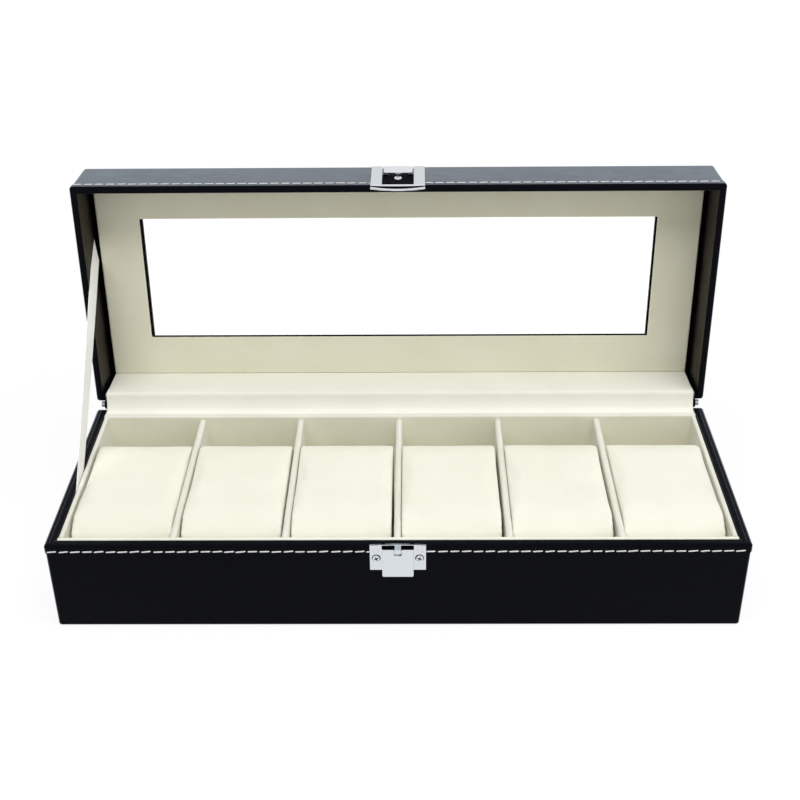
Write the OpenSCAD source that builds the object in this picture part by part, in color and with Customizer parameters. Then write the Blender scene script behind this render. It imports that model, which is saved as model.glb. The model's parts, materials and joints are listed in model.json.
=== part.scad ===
// Watch box with a windowed lid, six cushioned bays, a piano hinge and a hasp clasp.
// X runs left to right, Y front to back and Z up. The origin is under the middle of the base.
// The lid is drawn shut and then turned open about the hinge pin.

/* [Box] */
// Overall width
box_w = 300; // [240:1:400]
// Overall depth, without the hinge barrel and the clasp
box_d = 110.5; // [100:0.5:150]
// Height of the base from the underside to the rim
base_h = 44.5; // [42:0.5:60]
// Height of the lid from its rim to its top
lid_h = 29.5; // [28:0.5:45]
// Angle of the open lid, from shut
open_angle = 93.6; // [85:0.1:105]
// Gap between the two rims when the lid is shut
rim_gap = 0.6; // [0.6:0.1:1.2]

/* [Leatherette] */
// Thickness of the leatherette
leather_t = 0.6; // [0.4:0.1:0.9]
// How far the stitched rim band stands proud of the wall below it
band_over = 0.3; // [0.2:0.1:0.6]
// Height of the rim band on the base
base_band_h = 4.2; // [3:0.1:6]
// Height of the rim band on the lid
lid_band_h = 4.6; // [3:0.1:6]
// Thickness of the leatherette turned in behind a rim
turn_in_t = 0.4; // [0.3:0.1:0.6]
// Depth of the turn-in behind the base's rim
turn_in_h = 8; // [5:0.5:12]
// Rounding of the wrapped edges
edge_r = 1.5; // [1:0.1:2]

/* [Boards] */
// Thickness of the base's wall boards
base_board_t = 3.2; // [3:0.1:5]
// Thickness of the bottom board
bottom_t = 3; // [2:0.1:5]
// Thickness of the felt under the bottom board
felt_t = 0.8; // [0.5:0.1:1.5]
// Distance of the felt from the walls' outer faces
felt_inset = 2; // [1:0.5:6]
// Thickness of the lid's wall boards
lid_board_t = 2; // [1.8:0.1:3]
// Thickness of the lid's top board
top_board_t = 2.5; // [2:0.1:4]

/* [Tray] */
// Thickness of the tray's front and side walls
tray_wall_t = 2.1; // [1.5:0.1:3]
// Thickness of the tray's back wall
tray_back_t = 3.5; // [2:0.1:5]
// Slack between the rim's turn-in and the tray
tray_gap = 0.4; // [0.4:0.1:0.8]
// Thickness of the tray's floor
tray_floor_t = 1.2; // [0.8:0.1:2]
// Drop of the tray's walls below the rim
tray_drop = 0.5; // [0.3:0.1:2]
// Thickness of a divider
divider_t = 3; // [2:0.1:4]
// Drop of the dividers below the rim
divider_drop = 1.1; // [0.6:0.1:4]

/* [Cushions] */
// Slack between a cushion and the dividers beside it
cushion_gap = 0.9; // [0.5:0.1:2]
// Slack between a cushion and the floor below it
cushion_floor_gap = 0.3; // [0.2:0.1:0.6]
// Length of a cushion, front to back
cushion_len = 78; // [60:1:84]
// Slack between a cushion and the front of its bay
cushion_front_gap = 2; // [1:0.5:4]
// Height of a cushion's top above the rim
cushion_rise = 1; // [0:0.1:3]
// Rounding of a cushion's ends
cushion_end_r = 15; // [8:0.5:16]
// Rounding of a cushion's sides
cushion_side_r = 3; // [2:0.5:7]

/* [Window] */
// Width of the lid's frame beside the window
frame_side = 26.2; // [22:0.1:40]
// Width of the lid's frame in front of the window
frame_front = 23.7; // [18:0.1:32]
// Width of the lid's frame behind the window
frame_back = 25.1; // [20:0.1:32]
// How much further back the top board's window reaches than the inner frame's
window_step = 3; // [0:0.1:3.5]
// Thickness of the pane
glass_t = 2; // [1.5:0.1:3]
// Width of the pane held under the frame
glass_lap = 6; // [4:0.5:8]
// Thickness of the inner frame below the pane
inner_frame_t = 2; // [1.5:0.1:3]
// Distance of the inner frame from the lid's side and front walls
inner_frame_gap = 1.8; // [0.5:0.1:3]
// Thickness of the card on the lid's back wall
back_lining_t = 1.6; // [1:0.1:2.5]

/* [Hinge] */
// Distance of the hinge pin behind the back face
hinge_back = 1.9; // [1.85:0.05:2.5]
// Height of the hinge pin above the base's rim
hinge_up = 1.5; // [1.5:0.05:2]
// Radius of the hinge barrel
barrel_r = 1.35; // [1.2:0.05:1.4]
// Radius of the hinge pin
pin_r = 0.7; // [0.5:0.05:0.8]
// Running clearance around a pin
pin_clear = 0.05; // [0.03:0.01:0.1]
// Thickness of a hinge leaf
leaf_t = 0.6; // [0.5:0.1:0.8]
// Thickness of the cloth strip over the hinge
cover_t = 0.4; // [0.3:0.1:0.6]
// Distance of the hinge's ends from the sides of the box
hinge_inset = 4.7; // [4.6:0.1:12]
// Number of knuckles
knuckle_count = 24; // [12:2:30]
// Gap between neighbouring knuckles
knuckle_gap = 0.3; // [0.2:0.05:0.5]
// Metal between a knuckle's bore and the web below it
web_wall = 0.15; // [0.1:0.05:0.3]
// Distance of the cloth strip in front of the barrel
cover_gap = 1.3; // [0.5:0.1:1.4]
// Width of the cloth strip's bend beside the barrel
cover_bend = 0.65; // [0.3:0.05:1]
// Distance of the cloth strip's ends from the hinge's ends
cover_inset = 0.6; // [0.3:0.1:2]
// Number of brads in a leaf
brad_count = 6; // [3:1:8]
// Radius of a brad
brad_r = 0.5; // [0.4:0.05:0.6]
// Length of a brad
brad_len = 8; // [5:0.5:10]
// Slack beyond the tip of a brad or screw
tip_slack = 0.3; // [0.2:0.1:0.6]

/* [Ribbon] */
// Width of the ribbon that stays the lid
ribbon_w = 11; // [8:0.5:14]
// Thickness of the ribbon
ribbon_t = 0.25; // [0.2:0.05:0.3]
// Depth at which the ribbon leaves the base's rim, from the middle of the box
ribbon_base_y = -4; // [-20:1:10]
// Distance of the ribbon's upper end from the lid's front face
ribbon_lid_in = 37; // [26:1:50]
// Distance of the ribbon's upper end below the inner frame's face
ribbon_head_drop = 1.5; // [1:0.5:8]
// Sag of the ribbon at its middle
ribbon_sag = 0.8; // [0.4:0.1:3]
// Length of the ribbon glued down behind the rim
ribbon_tail = 12; // [6:1:20]

/* [Clasp] */
// Middle of the clasp, from the middle of the box
clasp_x = 0.3; // [-2:0.1:2]
// Width of the clasp plate
plate_w = 23.8; // [22:0.1:28]
// Height of the clasp plate
plate_h = 13.4; // [12.5:0.1:16]
// Thickness of the clasp plate
plate_t = 0.9; // [0.7:0.05:1]
// Height of the clasp plate's top above the rim
plate_rise = 1.1; // [0.5:0.1:1.5]
// Rise of the plate's arched top edge
plate_arch = 0.5; // [0.3:0.1:1]
// Distance between the plate's two screws
screw_pitch = 18.3; // [17.5:0.1:20]
// Height of the plate's screws below the rim
screw_drop = 6; // [5:0.1:7]
// Distance that a plate screw stops short of the front board's inner face
screw_short = 0.4; // [0.3:0.1:1]
// Radius of a screw's shank
screw_r = 0.8; // [0.6:0.05:0.9]
// Radius of a screw's head
screw_head_r = 1.7; // [1.4:0.05:1.9]
// Height of a screw's head
screw_head_h = 0.7; // [0.5:0.05:0.9]
// Width of the slot in a screw's head
screw_slot_w = 0.5; // [0.3:0.05:0.7]
// Depth of the slot in a screw's head
screw_slot_d = 0.3; // [0.2:0.05:0.4]
// Length of one arm of a plate screw's cross recess
screw_cross = 2; // [1.5:0.1:2.5]
// Turn of the slot in the bracket's screw
screw_turn = 35; // [0:5:90]
// Width of the clasp's lever
lever_w = 13.3; // [12:0.1:14]
// Length of the lever below its pin
lever_len = 12.4; // [12:0.1:15]
// Thickness of the lever
lever_t = 0.8; // [0.6:0.05:0.9]
// Height of the lever's pin below the rim
lever_pin_drop = 1.5; // [1.2:0.1:2.5]
// Width of the plate's tongue that holds the lever's pin
tongue_w = 2.8; // [2:0.1:4]
// Width of a slot in the plate beside its tongue
slot_w = 5.4; // [4:0.1:5.6]
// Height of a slot in the plate
slot_h = 1.9; // [1.2:0.1:2.1]
// Radius of a rolled eye
eye_r = 1.15; // [1:0.05:1.25]
// Radius of a clasp pin
clasp_pin_r = 0.55; // [0.4:0.05:0.6]
// Clearance between clasp pieces that pass each other
clasp_clear = 0.25; // [0.2:0.05:0.4]
// Width of the loop
loop_w = 24.6; // [23.5:0.1:28]
// Slack between the loop's hole and the lever beside it
loop_hole_slack = 0.6; // [0.4:0.1:1]
// Slack between the loop's eyes and the bracket's tongue
bracket_slack = 0.5; // [0.3:0.1:1]
// Width of the loop's lower bar above its curved edge
loop_bar = 2.2; // [1.6:0.1:3]
// Height of the loop's pin above the lid's rim
loop_pin_up = 20.4; // [19.5:0.1:22]
// Reach of the loop below the lid's rim
loop_reach = 11; // [10.5:0.1:12]
// Thickness of the loop's sheet
loop_t = 0.7; // [0.5:0.05:0.8]
// Depth of the loop's turned edge
loop_flange = 1.5; // [1.2:0.05:1.5]
// Width of the loop's turned edge
loop_flange_t = 0.7; // [0.5:0.05:1]
// Sag of the loop's curved lower edge
loop_arc = 2.4; // [1.5:0.1:3]
// Length of the bracket's raised tongue
bracket_tongue_len = 8; // [6:0.5:9]
// Length of the bracket's foot below its tongue
foot_len = 10; // [8:0.5:11]
// Height of the bracket's screw in its foot
bracket_screw_up = 6; // [4:0.5:7.5]
// Thickness of the bracket's sheet
bracket_t = 0.6; // [0.5:0.05:0.8]

/* [Hidden] */
$fn = 48;
bay_count = 6;

leather_colour = [0.08, 0.08, 0.10];
board_colour = [0.55, 0.42, 0.28];
velvet_colour = [0.93, 0.91, 0.83];
metal_colour = [0.80, 0.81, 0.83];
satin_colour = [0.96, 0.96, 0.96];

half_w = box_w / 2;
half_d = box_d / 2;
// Outer faces of the walls below the rim bands, and of the boards
wall_x = half_w - band_over;
wall_front = -half_d + band_over;
board_x = wall_x - leather_t;
board_front = wall_front + leather_t;
board_back = half_d - leather_t;
// Inner faces of the base's boards and of the turn-in
base_in_x = board_x - base_board_t;
base_in_front = board_front + base_board_t;
base_in_back = board_back - base_board_t;
rim_in_x = base_in_x - turn_in_t;
rim_in_front = base_in_front + turn_in_t;
// The hinge's rebate in the back rims
rebate = cover_t + leaf_t;
hinge_half = half_w - hinge_inset;

// Tray
tray_x = rim_in_x - tray_gap;
tray_front = rim_in_front + tray_gap;
bay_x = tray_x - tray_wall_t;
bay_front = tray_front + tray_wall_t;
bay_back = base_in_back - tray_back_t;
bottom_top = felt_t + bottom_t;
floor_top = bottom_top + tray_floor_t;
tray_top = base_h - tray_drop;
divider_top = base_h - divider_drop;
bay_w = (2 * bay_x - (bay_count - 1) * divider_t) / bay_count;
bay_pitch = bay_w + divider_t;
// Small overlap or clearance, and how far a cut runs past a face
seam = 0.05;
cut = 1;

// Cushions
cushion_w = bay_w - 2 * cushion_gap;
cushion_y = bay_front + cushion_front_gap + cushion_len / 2;
cushion_bottom = floor_top + cushion_floor_gap;
cushion_h = base_h + cushion_rise - cushion_bottom;

// Lid, as it lies shut
lid_rim = base_h + rim_gap;
lid_top = lid_rim + lid_h;
top_board_top = lid_top - leather_t;
top_board_under = top_board_top - top_board_t;
frame_face = top_board_under - glass_t - inner_frame_t;
lid_in_x = board_x - lid_board_t - turn_in_t;
lid_in_front = board_front + lid_board_t + turn_in_t;
lid_board_back_in = board_back - lid_board_t;
lining_face = lid_board_back_in - back_lining_t;
window_x = half_w - frame_side;
window_front = -half_d + frame_front;
window_back = half_d - frame_back;
frame_x = lid_in_x - inner_frame_gap;
frame_y0 = lid_in_front + inner_frame_gap;
frame_y1 = lining_face;
pane_slack = 0.2;

// Hinge
hinge_y = half_d + hinge_back;
hinge_z = base_h + hinge_up;
bore_r = pin_r + pin_clear;
knuckle_pitch = 2 * hinge_half / knuckle_count;
leaf_y0 = base_in_back + seam;
lid_leaf_y0 = lining_face;
brad_pitch = 2 * hinge_half / brad_count;
brad_y = (base_in_back + board_back) / 2;
lid_brad_y = (lid_board_back_in + board_back) / 2;
brad_head_r = 2 * brad_r;
brad_head_h = leaf_t / 2;
hole_slack = 0.05;

// Clasp
face_y = -half_d;
plate_front = face_y - plate_t;
plate_top = base_h + plate_rise;
plate_bottom = plate_top - plate_h;
screw_z = base_h - screw_drop;
screw_len = plate_t + band_over + leather_t + base_board_t - screw_short;
loop_front = plate_front - clasp_clear - loop_flange;
loop_pin_y = loop_front + eye_r;
loop_pin_z = lid_rim + loop_pin_up;
lever_pin_y = loop_front - clasp_clear - lever_t + eye_r;
lever_pin_z = base_h - lever_pin_drop;
eye_bore_r = clasp_pin_r + pin_clear;
loop_hole_w = lever_w + 2 * loop_hole_slack;
loop_bottom = lid_rim - loop_reach;
loop_hole_bottom = loop_bottom + loop_arc + loop_bar;
bracket_tongue_w = loop_hole_w - 2 * bracket_slack;
foot_bottom = loop_pin_z - eye_r - bracket_tongue_len - foot_len;
tongue_bottom = foot_bottom + foot_len;
bracket_screw_z = foot_bottom + bracket_screw_up;
slot_bottom = lever_pin_z + seam;

function lid_place(y, z) = [
    hinge_y + (y - hinge_y) * cos(open_angle) + (z - hinge_z) * sin(open_angle),
    hinge_z - (y - hinge_y) * sin(open_angle) + (z - hinge_z) * cos(open_angle)];
function divider_x(i) = -bay_x + i * bay_pitch - divider_t / 2;
function cushion_x(i) = -bay_x + bay_w / 2 + (i - 1) * bay_pitch;
function knuckle_x(i) = -hinge_half + (i + 0.5) * knuckle_pitch;
function brad_x(i) = -hinge_half + (i + 0.5) * brad_pitch;

// A cuboid between two corners
module slab(a, b) {
    translate(a) cube([b[0] - a[0], b[1] - a[1], b[2] - a[2]]);
}

// A rod along X between two ends
module rod_x(x0, x1, y, z, r) {
    translate([x0, y, z]) rotate([0, 90, 0]) cylinder(h = x1 - x0, r = r);
}

// A rod along Y between two ends
module rod_y(x, y0, y1, z, r) {
    translate([x, y1, z]) rotate([90, 0, 0]) cylinder(h = y1 - y0, r = r);
}

// A plan outline with rounded corners
module round_plan(x, y0, y1, r) {
    union() {
        translate([-x + r, y0]) square([2 * (x - r), y1 - y0]);
        translate([-x, y0 + r]) square([2 * x, y1 - y0 - 2 * r]);
        for (cx = [-x + r, x - r], cy = [y0 + r, y1 - r]) translate([cx, cy]) circle(r = r);
    }
}

// A block whose upright edges are round, and its top edges too where top_round is 1
module wrapped_block(x, y0, y1, z0, z1, r, top_round) {
    hull() {
        translate([0, 0, z0]) linear_extrude(z1 - z0 - r * top_round)
            round_plan(x, y0, y1, r, $fn = 32);
        for (a = [30, 60, 90]) {
            inset = r * top_round * (1 - cos(a));
            translate([0, 0, z1 - r * top_round * (1 - sin(a)) - seam])
                linear_extrude(seam)
                    round_plan(x - inset, y0 + inset, y1 - inset, max(r - inset, seam), $fn = 32);
        }
    }
}

// Carries what is drawn on the shut lid to the open lid
module on_lid() {
    translate([0, hinge_y, hinge_z]) rotate([-open_angle, 0, 0])
        translate([0, -hinge_y, -hinge_z]) children();
}

module base_outline(z0, z1, top_round) {
    wrapped_block(half_w, -half_d, half_d, z0, z1, edge_r, top_round);
}

module base_wall_outline(z0, z1) {
    wrapped_block(wall_x, wall_front, half_d, z0, z1, edge_r, 0);
}

module plate_screw_holes(r) {
    for (side = [-1, 1])
        rod_y(clasp_x + side * screw_pitch / 2, plate_front - cut,
            plate_front + screw_len + tip_slack, screw_z, r);
}

module bracket_screw_hole(r) {
    rod_y(clasp_x, face_y - bracket_t - cut, face_y + lid_board_t + tip_slack, bracket_screw_z, r);
}

module base_brad_holes(r) {
    for (i = [0:brad_count - 1])
        translate([brad_x(i), brad_y, base_h - cover_t - brad_len - tip_slack])
            cylinder(h = brad_len + 2 * tip_slack, r = r);
}

module lid_brad_holes(r) {
    for (i = [0:brad_count - 1])
        translate([brad_x(i), lid_brad_y, lid_rim + cover_t - tip_slack])
            cylinder(h = brad_len + 2 * tip_slack, r = r);
}

module underside_felt() {
    color("dimgray")
        linear_extrude(felt_t)
            round_plan(wall_x - felt_inset, wall_front + felt_inset, half_d - felt_inset, edge_r);
}

module bottom_board() {
    color(board_colour)
        slab([-base_in_x, base_in_front, felt_t], [base_in_x, base_in_back, bottom_top]);
}

module base_front_board() {
    color(board_colour) difference() {
        slab([-board_x, board_front, felt_t], [board_x, base_in_front, base_h - leather_t]);
        plate_screw_holes(screw_r + hole_slack);
    }
}

module base_back_board() {
    color(board_colour) difference() {
        slab([-board_x, base_in_back, felt_t], [board_x, board_back, base_h - rebate]);
        base_brad_holes(brad_r + hole_slack);
    }
}

module base_side_board(side) {
    color(board_colour)
        translate([side * (base_in_x + base_board_t / 2), 0, 0])
            slab([-base_board_t / 2, base_in_front, felt_t],
                [base_board_t / 2, base_in_back, base_h - leather_t]);
}

module base_left_board() { base_side_board(-1); }
module base_right_board() { base_side_board(1); }

// The room of a rim band beside one end of the hinge
module corner_slab(side, y0, z0, z1) {
    a = side * hinge_half;
    b = side * (half_w + cut);
    slab([min(a, b), y0, z0], [max(a, b), half_d + cut, z1]);
}

// Leatherette round the walls, up to the rim band and, at the back, up to the hinge leaf
module base_wrap() {
    color(leather_colour) difference() {
        base_wall_outline(felt_t, base_h - rebate);
        slab([-board_x, board_front, 0], [board_x, board_back, base_h]);
        slab([-half_w - cut, -half_d - cut, base_h - base_band_h],
            [half_w + cut, base_in_back, base_h]);
        for (side = [-1, 1])
            corner_slab(side, base_in_back - cut, base_h - base_band_h, base_h);
        plate_screw_holes(screw_r + hole_slack);
    }
}

// Stitched leatherette band over the front and side rims, turned in behind them
module base_rim_band() {
    band_bottom = base_h - base_band_h;
    color(leather_colour) difference() {
        base_outline(band_bottom, base_h, 1);
        slab([-board_x, board_front, 0], [board_x, base_in_front, base_h - leather_t]);
        for (side = [-1, 1])
            translate([side * (base_in_x + base_board_t / 2), 0, 0])
                slab([-base_board_t / 2, -half_d + leather_t + band_over, 0],
                    [base_board_t / 2, base_in_back, base_h - leather_t]);
        slab([-board_x, base_in_back - seam, 0], [board_x, board_back, base_h - rebate]);
        slab([-rim_in_x, rim_in_front, 0], [rim_in_x, base_in_back, base_h + cut]);
        slab([-hinge_half, base_in_back - cut, 0], [hinge_half, half_d + cut, base_h + cut]);
        plate_screw_holes(screw_r + hole_slack);
    }
    color(leather_colour) turn_in();
}

// The part of the band that goes down behind the rim
module turn_in() {
    z0 = base_h - turn_in_h;
    z1 = base_h - base_band_h;
    slab([-base_in_x, base_in_front, z0], [base_in_x, rim_in_front, z1]);
    slab([-base_in_x, base_in_front, z0], [-rim_in_x, base_in_back, z1]);
    slab([rim_in_x, base_in_front, z0], [base_in_x, base_in_back, z1]);
}

module tray_floor() {
    color(velvet_colour)
        slab([-bay_x, bay_front, bottom_top], [bay_x, bay_back, floor_top]);
}

module tray_front_wall() {
    color(velvet_colour)
        slab([-tray_x, tray_front, bottom_top], [tray_x, bay_front, tray_top]);
}

module tray_back_wall() {
    color(velvet_colour)
        slab([-tray_x, bay_back, bottom_top], [tray_x, base_in_back, tray_top]);
}

module tray_side_wall(side) {
    color(velvet_colour)
        translate([side * (bay_x + tray_wall_t / 2), 0, 0])
            slab([-tray_wall_t / 2, bay_front, bottom_top], [tray_wall_t / 2, bay_back, tray_top]);
}

module tray_left_wall() { tray_side_wall(-1); }
module tray_right_wall() { tray_side_wall(1); }

module divider(i) {
    r = divider_t / 2;
    color(velvet_colour) {
        slab([divider_x(i) - r, bay_front, floor_top], [divider_x(i) + r, bay_back, divider_top - r]);
        rod_y(divider_x(i), bay_front, bay_back, divider_top - r, r);
    }
}

// A stuffed block with round ends and softly rounded sides
module cushion(i) {
    color(velvet_colour)
        translate([cushion_x(i), cushion_y, cushion_bottom + cushion_h / 2])
            hull() for (a = [0, 30, 60, 90]) {
                inset = cushion_side_r * (1 - sin(a));
                width = cushion_w - 2 * cushion_side_r * (1 - cos(a));
                rotate([90, 0, 90]) linear_extrude(width, center = true)
                    cushion_section(cushion_len / 2 - inset, cushion_h / 2 - inset, $fn = 24);
            }
}

module cushion_section(half_len, half_h) {
    r = min(cushion_end_r, half_h - seam);
    union() {
        translate([-half_len + r, -half_h]) square([2 * (half_len - r), 2 * half_h]);
        translate([-half_len, -half_h + r]) square([2 * half_len, 2 * (half_h - r)]);
        for (cy = [-half_len + r, half_len - r], cz = [-half_h + r, half_h - r])
            translate([cy, cz]) circle(r = r);
    }
}

// One side's knuckles, bored for the pin, with the webs that join them to their leaf
module knuckles(first, web_y0, web_z0, web_z1) {
    for (i = [first:2:knuckle_count - 1]) {
        x0 = knuckle_x(i) - knuckle_pitch / 2 + knuckle_gap / 2;
        x1 = knuckle_x(i) + knuckle_pitch / 2 - knuckle_gap / 2;
        rod_x(x0, x1, hinge_y, hinge_z, barrel_r);
        slab([x0, web_y0, web_z0], [x1, hinge_y, web_z1]);
    }
}

module hinge_base_leaf() {
    leaf_top = base_h - cover_t;
    color(metal_colour) difference() {
        union() {
            slab([-hinge_half, leaf_y0, leaf_top - leaf_t], [hinge_half, half_d, leaf_top]);
            knuckles(0, half_d - seam, leaf_top - leaf_t, hinge_z - bore_r - web_wall);
        }
        rod_x(-half_w, half_w, hinge_y, hinge_z, bore_r);
        base_brad_holes(brad_r + hole_slack);
        for (i = [0:brad_count - 1])
            translate([brad_x(i), brad_y, leaf_top - brad_head_h])
                cylinder(h = leaf_t, r = brad_head_r + hole_slack);
    }
}

module hinge_lid_leaf() {
    leaf_under = lid_rim + cover_t;
    color(metal_colour) on_lid() difference() {
        union() {
            slab([-hinge_half, lid_leaf_y0, leaf_under], [hinge_half, half_d, leaf_under + leaf_t]);
            knuckles(1, half_d - seam, leaf_under, leaf_under + leaf_t);
        }
        rod_x(-half_w, half_w, hinge_y, hinge_z, bore_r);
        lid_brad_holes(brad_r + hole_slack);
        for (i = [0:brad_count - 1])
            translate([brad_x(i), lid_brad_y, leaf_under - cut])
                cylinder(h = brad_head_h + cut, r = brad_head_r + hole_slack);
    }
}

module hinge_pin() {
    color(metal_colour) rod_x(-hinge_half, hinge_half, hinge_y, hinge_z, pin_r);
}

module base_hinge_brads() {
    color(metal_colour)
        for (i = [0:brad_count - 1]) translate([brad_x(i), brad_y, base_h - cover_t]) {
            translate([0, 0, -brad_len]) cylinder(h = brad_len - seam, r = brad_r);
            translate([0, 0, -brad_head_h]) cylinder(h = brad_head_h - seam, r = brad_head_r);
        }
}

module lid_hinge_brads() {
    color(metal_colour) on_lid()
        for (i = [0:brad_count - 1]) translate([brad_x(i), lid_brad_y, lid_rim + cover_t]) {
            translate([0, 0, seam]) cylinder(h = brad_len - seam, r = brad_r);
            translate([0, 0, seam]) cylinder(h = brad_head_h - seam, r = brad_head_r);
        }
}

// Cloth strip from the base's back rim, in front of the barrel, to the lid's back rim
module hinge_cover() {
    r = cover_t / 2 - seam;
    half = hinge_half - cover_inset;
    base_line = base_h - cover_t / 2;
    lid_line = lid_rim + cover_t / 2;
    bend_y = hinge_y - barrel_r - cover_gap;
    path = [
        [base_in_back + cover_t, base_line],
        [bend_y - cover_bend, base_line],
        [bend_y, hinge_z],
        lid_place(bend_y, lid_line),
        lid_place(lining_face + cover_t, lid_line)];
    color(velvet_colour)
        translate([-half, 0, 0]) rotate([90, 0, 90])
            linear_extrude(2 * half)
                for (i = [0:len(path) - 2]) hull() {
                    translate(path[i]) circle(r = r, $fn = 16);
                    translate(path[i + 1]) circle(r = r, $fn = 16);
                }
}

// Satin ribbon from behind the base's left rim to the lid's left wall
module ribbon_stay() {
    base_x = -tray_x - tray_gap / 2;
    lid_x = -lid_in_x + ribbon_t;
    foot = [ribbon_base_y, base_h];
    head = lid_place(-half_d + ribbon_lid_in, frame_face - ribbon_head_drop);
    run = head - foot;
    run_len = norm(run);
    along = run / run_len;
    lean = atan2(run[1], run[0]);
    points = [for (t = [0, 0.25, 0.5, 0.75, 1]) let (
        drop = ribbon_sag * (1 - pow(2 * t - 1, 2)),
        p = foot + run * t + [along[1], -along[0]] * drop)
        [base_x + (lid_x - base_x) * t, p[0], p[1]]];
    tail = [base_x, foot[0] - along[0] * ribbon_tail, foot[1] - along[1] * ribbon_tail];
    route = concat([tail], points);
    color(satin_colour)
        for (i = [0:len(route) - 2]) hull() {
            ribbon_slice(route[i], lean);
            ribbon_slice(route[i + 1], lean);
        }
}

module ribbon_slice(at, lean) {
    translate(at) rotate([lean - 90, 0, 0]) cube([ribbon_t, ribbon_w, seam], center = true);
}

module arched_plate_outline() {
    top = plate_h - plate_arch;
    arch_r = (pow(plate_w / 2, 2) + pow(plate_arch, 2)) / (2 * plate_arch);
    union() {
        translate([-plate_w / 2, 0]) square([plate_w, top]);
        intersection() {
            translate([0, plate_h - arch_r]) circle(r = arch_r, $fn = 360);
            translate([-plate_w / 2, 0]) square([plate_w, plate_h]);
        }
    }
}

// Plate on the base's front, slotted behind the lever's eyes, with a tongue rolled round the pin
module clasp_plate() {
    color(metal_colour) translate([clasp_x, 0, 0]) difference() {
        union() {
            translate([0, face_y, plate_bottom]) rotate([90, 0, 0])
                linear_extrude(plate_t) arched_plate_outline();
            rod_x(-tongue_w / 2, tongue_w / 2, lever_pin_y, lever_pin_z, eye_r);
            slab([-tongue_w / 2, lever_pin_y, lever_pin_z + eye_r - lever_t],
                [tongue_w / 2, plate_front, lever_pin_z + eye_r]);
        }
        for (side = [-1, 1])
            translate([side * (tongue_w / 2 + slot_w / 2), 0, slot_bottom])
                slab([-slot_w / 2, plate_front - seam, 0], [slot_w / 2, face_y + seam, slot_h]);
        rod_x(-plate_w, plate_w, lever_pin_y, lever_pin_z, eye_bore_r);
        translate([-clasp_x, 0, 0]) plate_screw_holes(screw_r + hole_slack);
    }
}

module clasp_plate_screws() {
    color(metal_colour)
        for (side = [-1, 1]) translate([clasp_x + side * screw_pitch / 2, plate_front, screw_z])
            difference() {
                union() {
                    rod_y(0, -screw_head_h, 0, 0, screw_head_r);
                    rod_y(0, -seam, screw_len, 0, screw_r);
                }
                for (turn = [0, 90])
                    translate([0, -screw_head_h, 0]) rotate([0, turn, 0])
                        cube([screw_cross, 2 * screw_slot_d, screw_slot_w], center = true);
            }
}

module clasp_lever_pin() {
    color(metal_colour) translate([clasp_x, 0, 0])
        rod_x(-lever_w / 2, lever_w / 2, lever_pin_y, lever_pin_z, clasp_pin_r);
}

// Flap that hangs from two rolled eyes beside the plate's tongue
module clasp_lever() {
    notch = tongue_w / 2 + clasp_clear;
    flap_front = lever_pin_y - eye_r;
    color(metal_colour) translate([clasp_x, 0, 0]) difference() {
        union() {
            rod_x(-lever_w / 2, lever_w / 2, lever_pin_y, lever_pin_z, eye_r);
            slab([-lever_w / 2, flap_front, lever_pin_z - lever_len],
                [lever_w / 2, flap_front + lever_t, lever_pin_z]);
        }
        slab([-notch, flap_front - cut, lever_pin_z - eye_r - clasp_clear],
            [notch, lever_pin_y + eye_r + cut, lever_pin_z + eye_r + cut]);
        rod_x(-lever_w, lever_w, lever_pin_y, lever_pin_z, eye_bore_r);
    }
}

module window_hole(grow, z0, z1, step = 0) {
    slab([-window_x - grow, window_front - grow, z0],
        [window_x + grow, window_back + step + grow, z1]);
}

module lid_top_board() {
    color(board_colour) on_lid() difference() {
        slab([-board_x, board_front, top_board_under], [board_x, board_back, top_board_top]);
        window_hole(leather_t, top_board_under - cut, top_board_top + cut, window_step);
    }
}

module lid_front_board() {
    color(board_colour) on_lid() difference() {
        slab([-board_x, board_front, lid_rim + leather_t],
            [board_x, board_front + lid_board_t, top_board_under]);
        bracket_screw_hole(screw_r + hole_slack);
    }
}

module lid_back_board() {
    color(board_colour) on_lid() difference() {
        slab([-board_x, lid_board_back_in, lid_rim + rebate], [board_x, board_back, top_board_under]);
        lid_brad_holes(brad_r + hole_slack);
    }
}

module lid_side_board(side) {
    color(board_colour) on_lid()
        translate([side * (board_x - lid_board_t / 2), 0, 0])
            slab([-lid_board_t / 2, board_front + lid_board_t, lid_rim + leather_t],
                [lid_board_t / 2, lid_board_back_in, top_board_under]);
}

module lid_left_board() { lid_side_board(-1); }
module lid_right_board() { lid_side_board(1); }

// Leatherette over the lid's top and walls, turned into the window's edge
module lid_wrap() {
    color(leather_colour) on_lid() difference() {
        wrapped_block(wall_x, wall_front, half_d, lid_rim + rebate, lid_top, edge_r, 1);
        difference() {
            slab([-board_x, board_front, 0], [board_x, board_back, top_board_top]);
            window_hole(leather_t, top_board_under, top_board_top + cut, window_step);
        }
        window_hole(0, 0, lid_top + cut, window_step);
        slab([-half_w - cut, -half_d - cut, 0],
            [half_w + cut, lid_board_back_in, lid_rim + lid_band_h]);
        for (side = [-1, 1])
            corner_slab(side, lid_board_back_in - cut, 0, lid_rim + lid_band_h);
        bracket_screw_hole(screw_r + hole_slack);
    }
}

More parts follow.
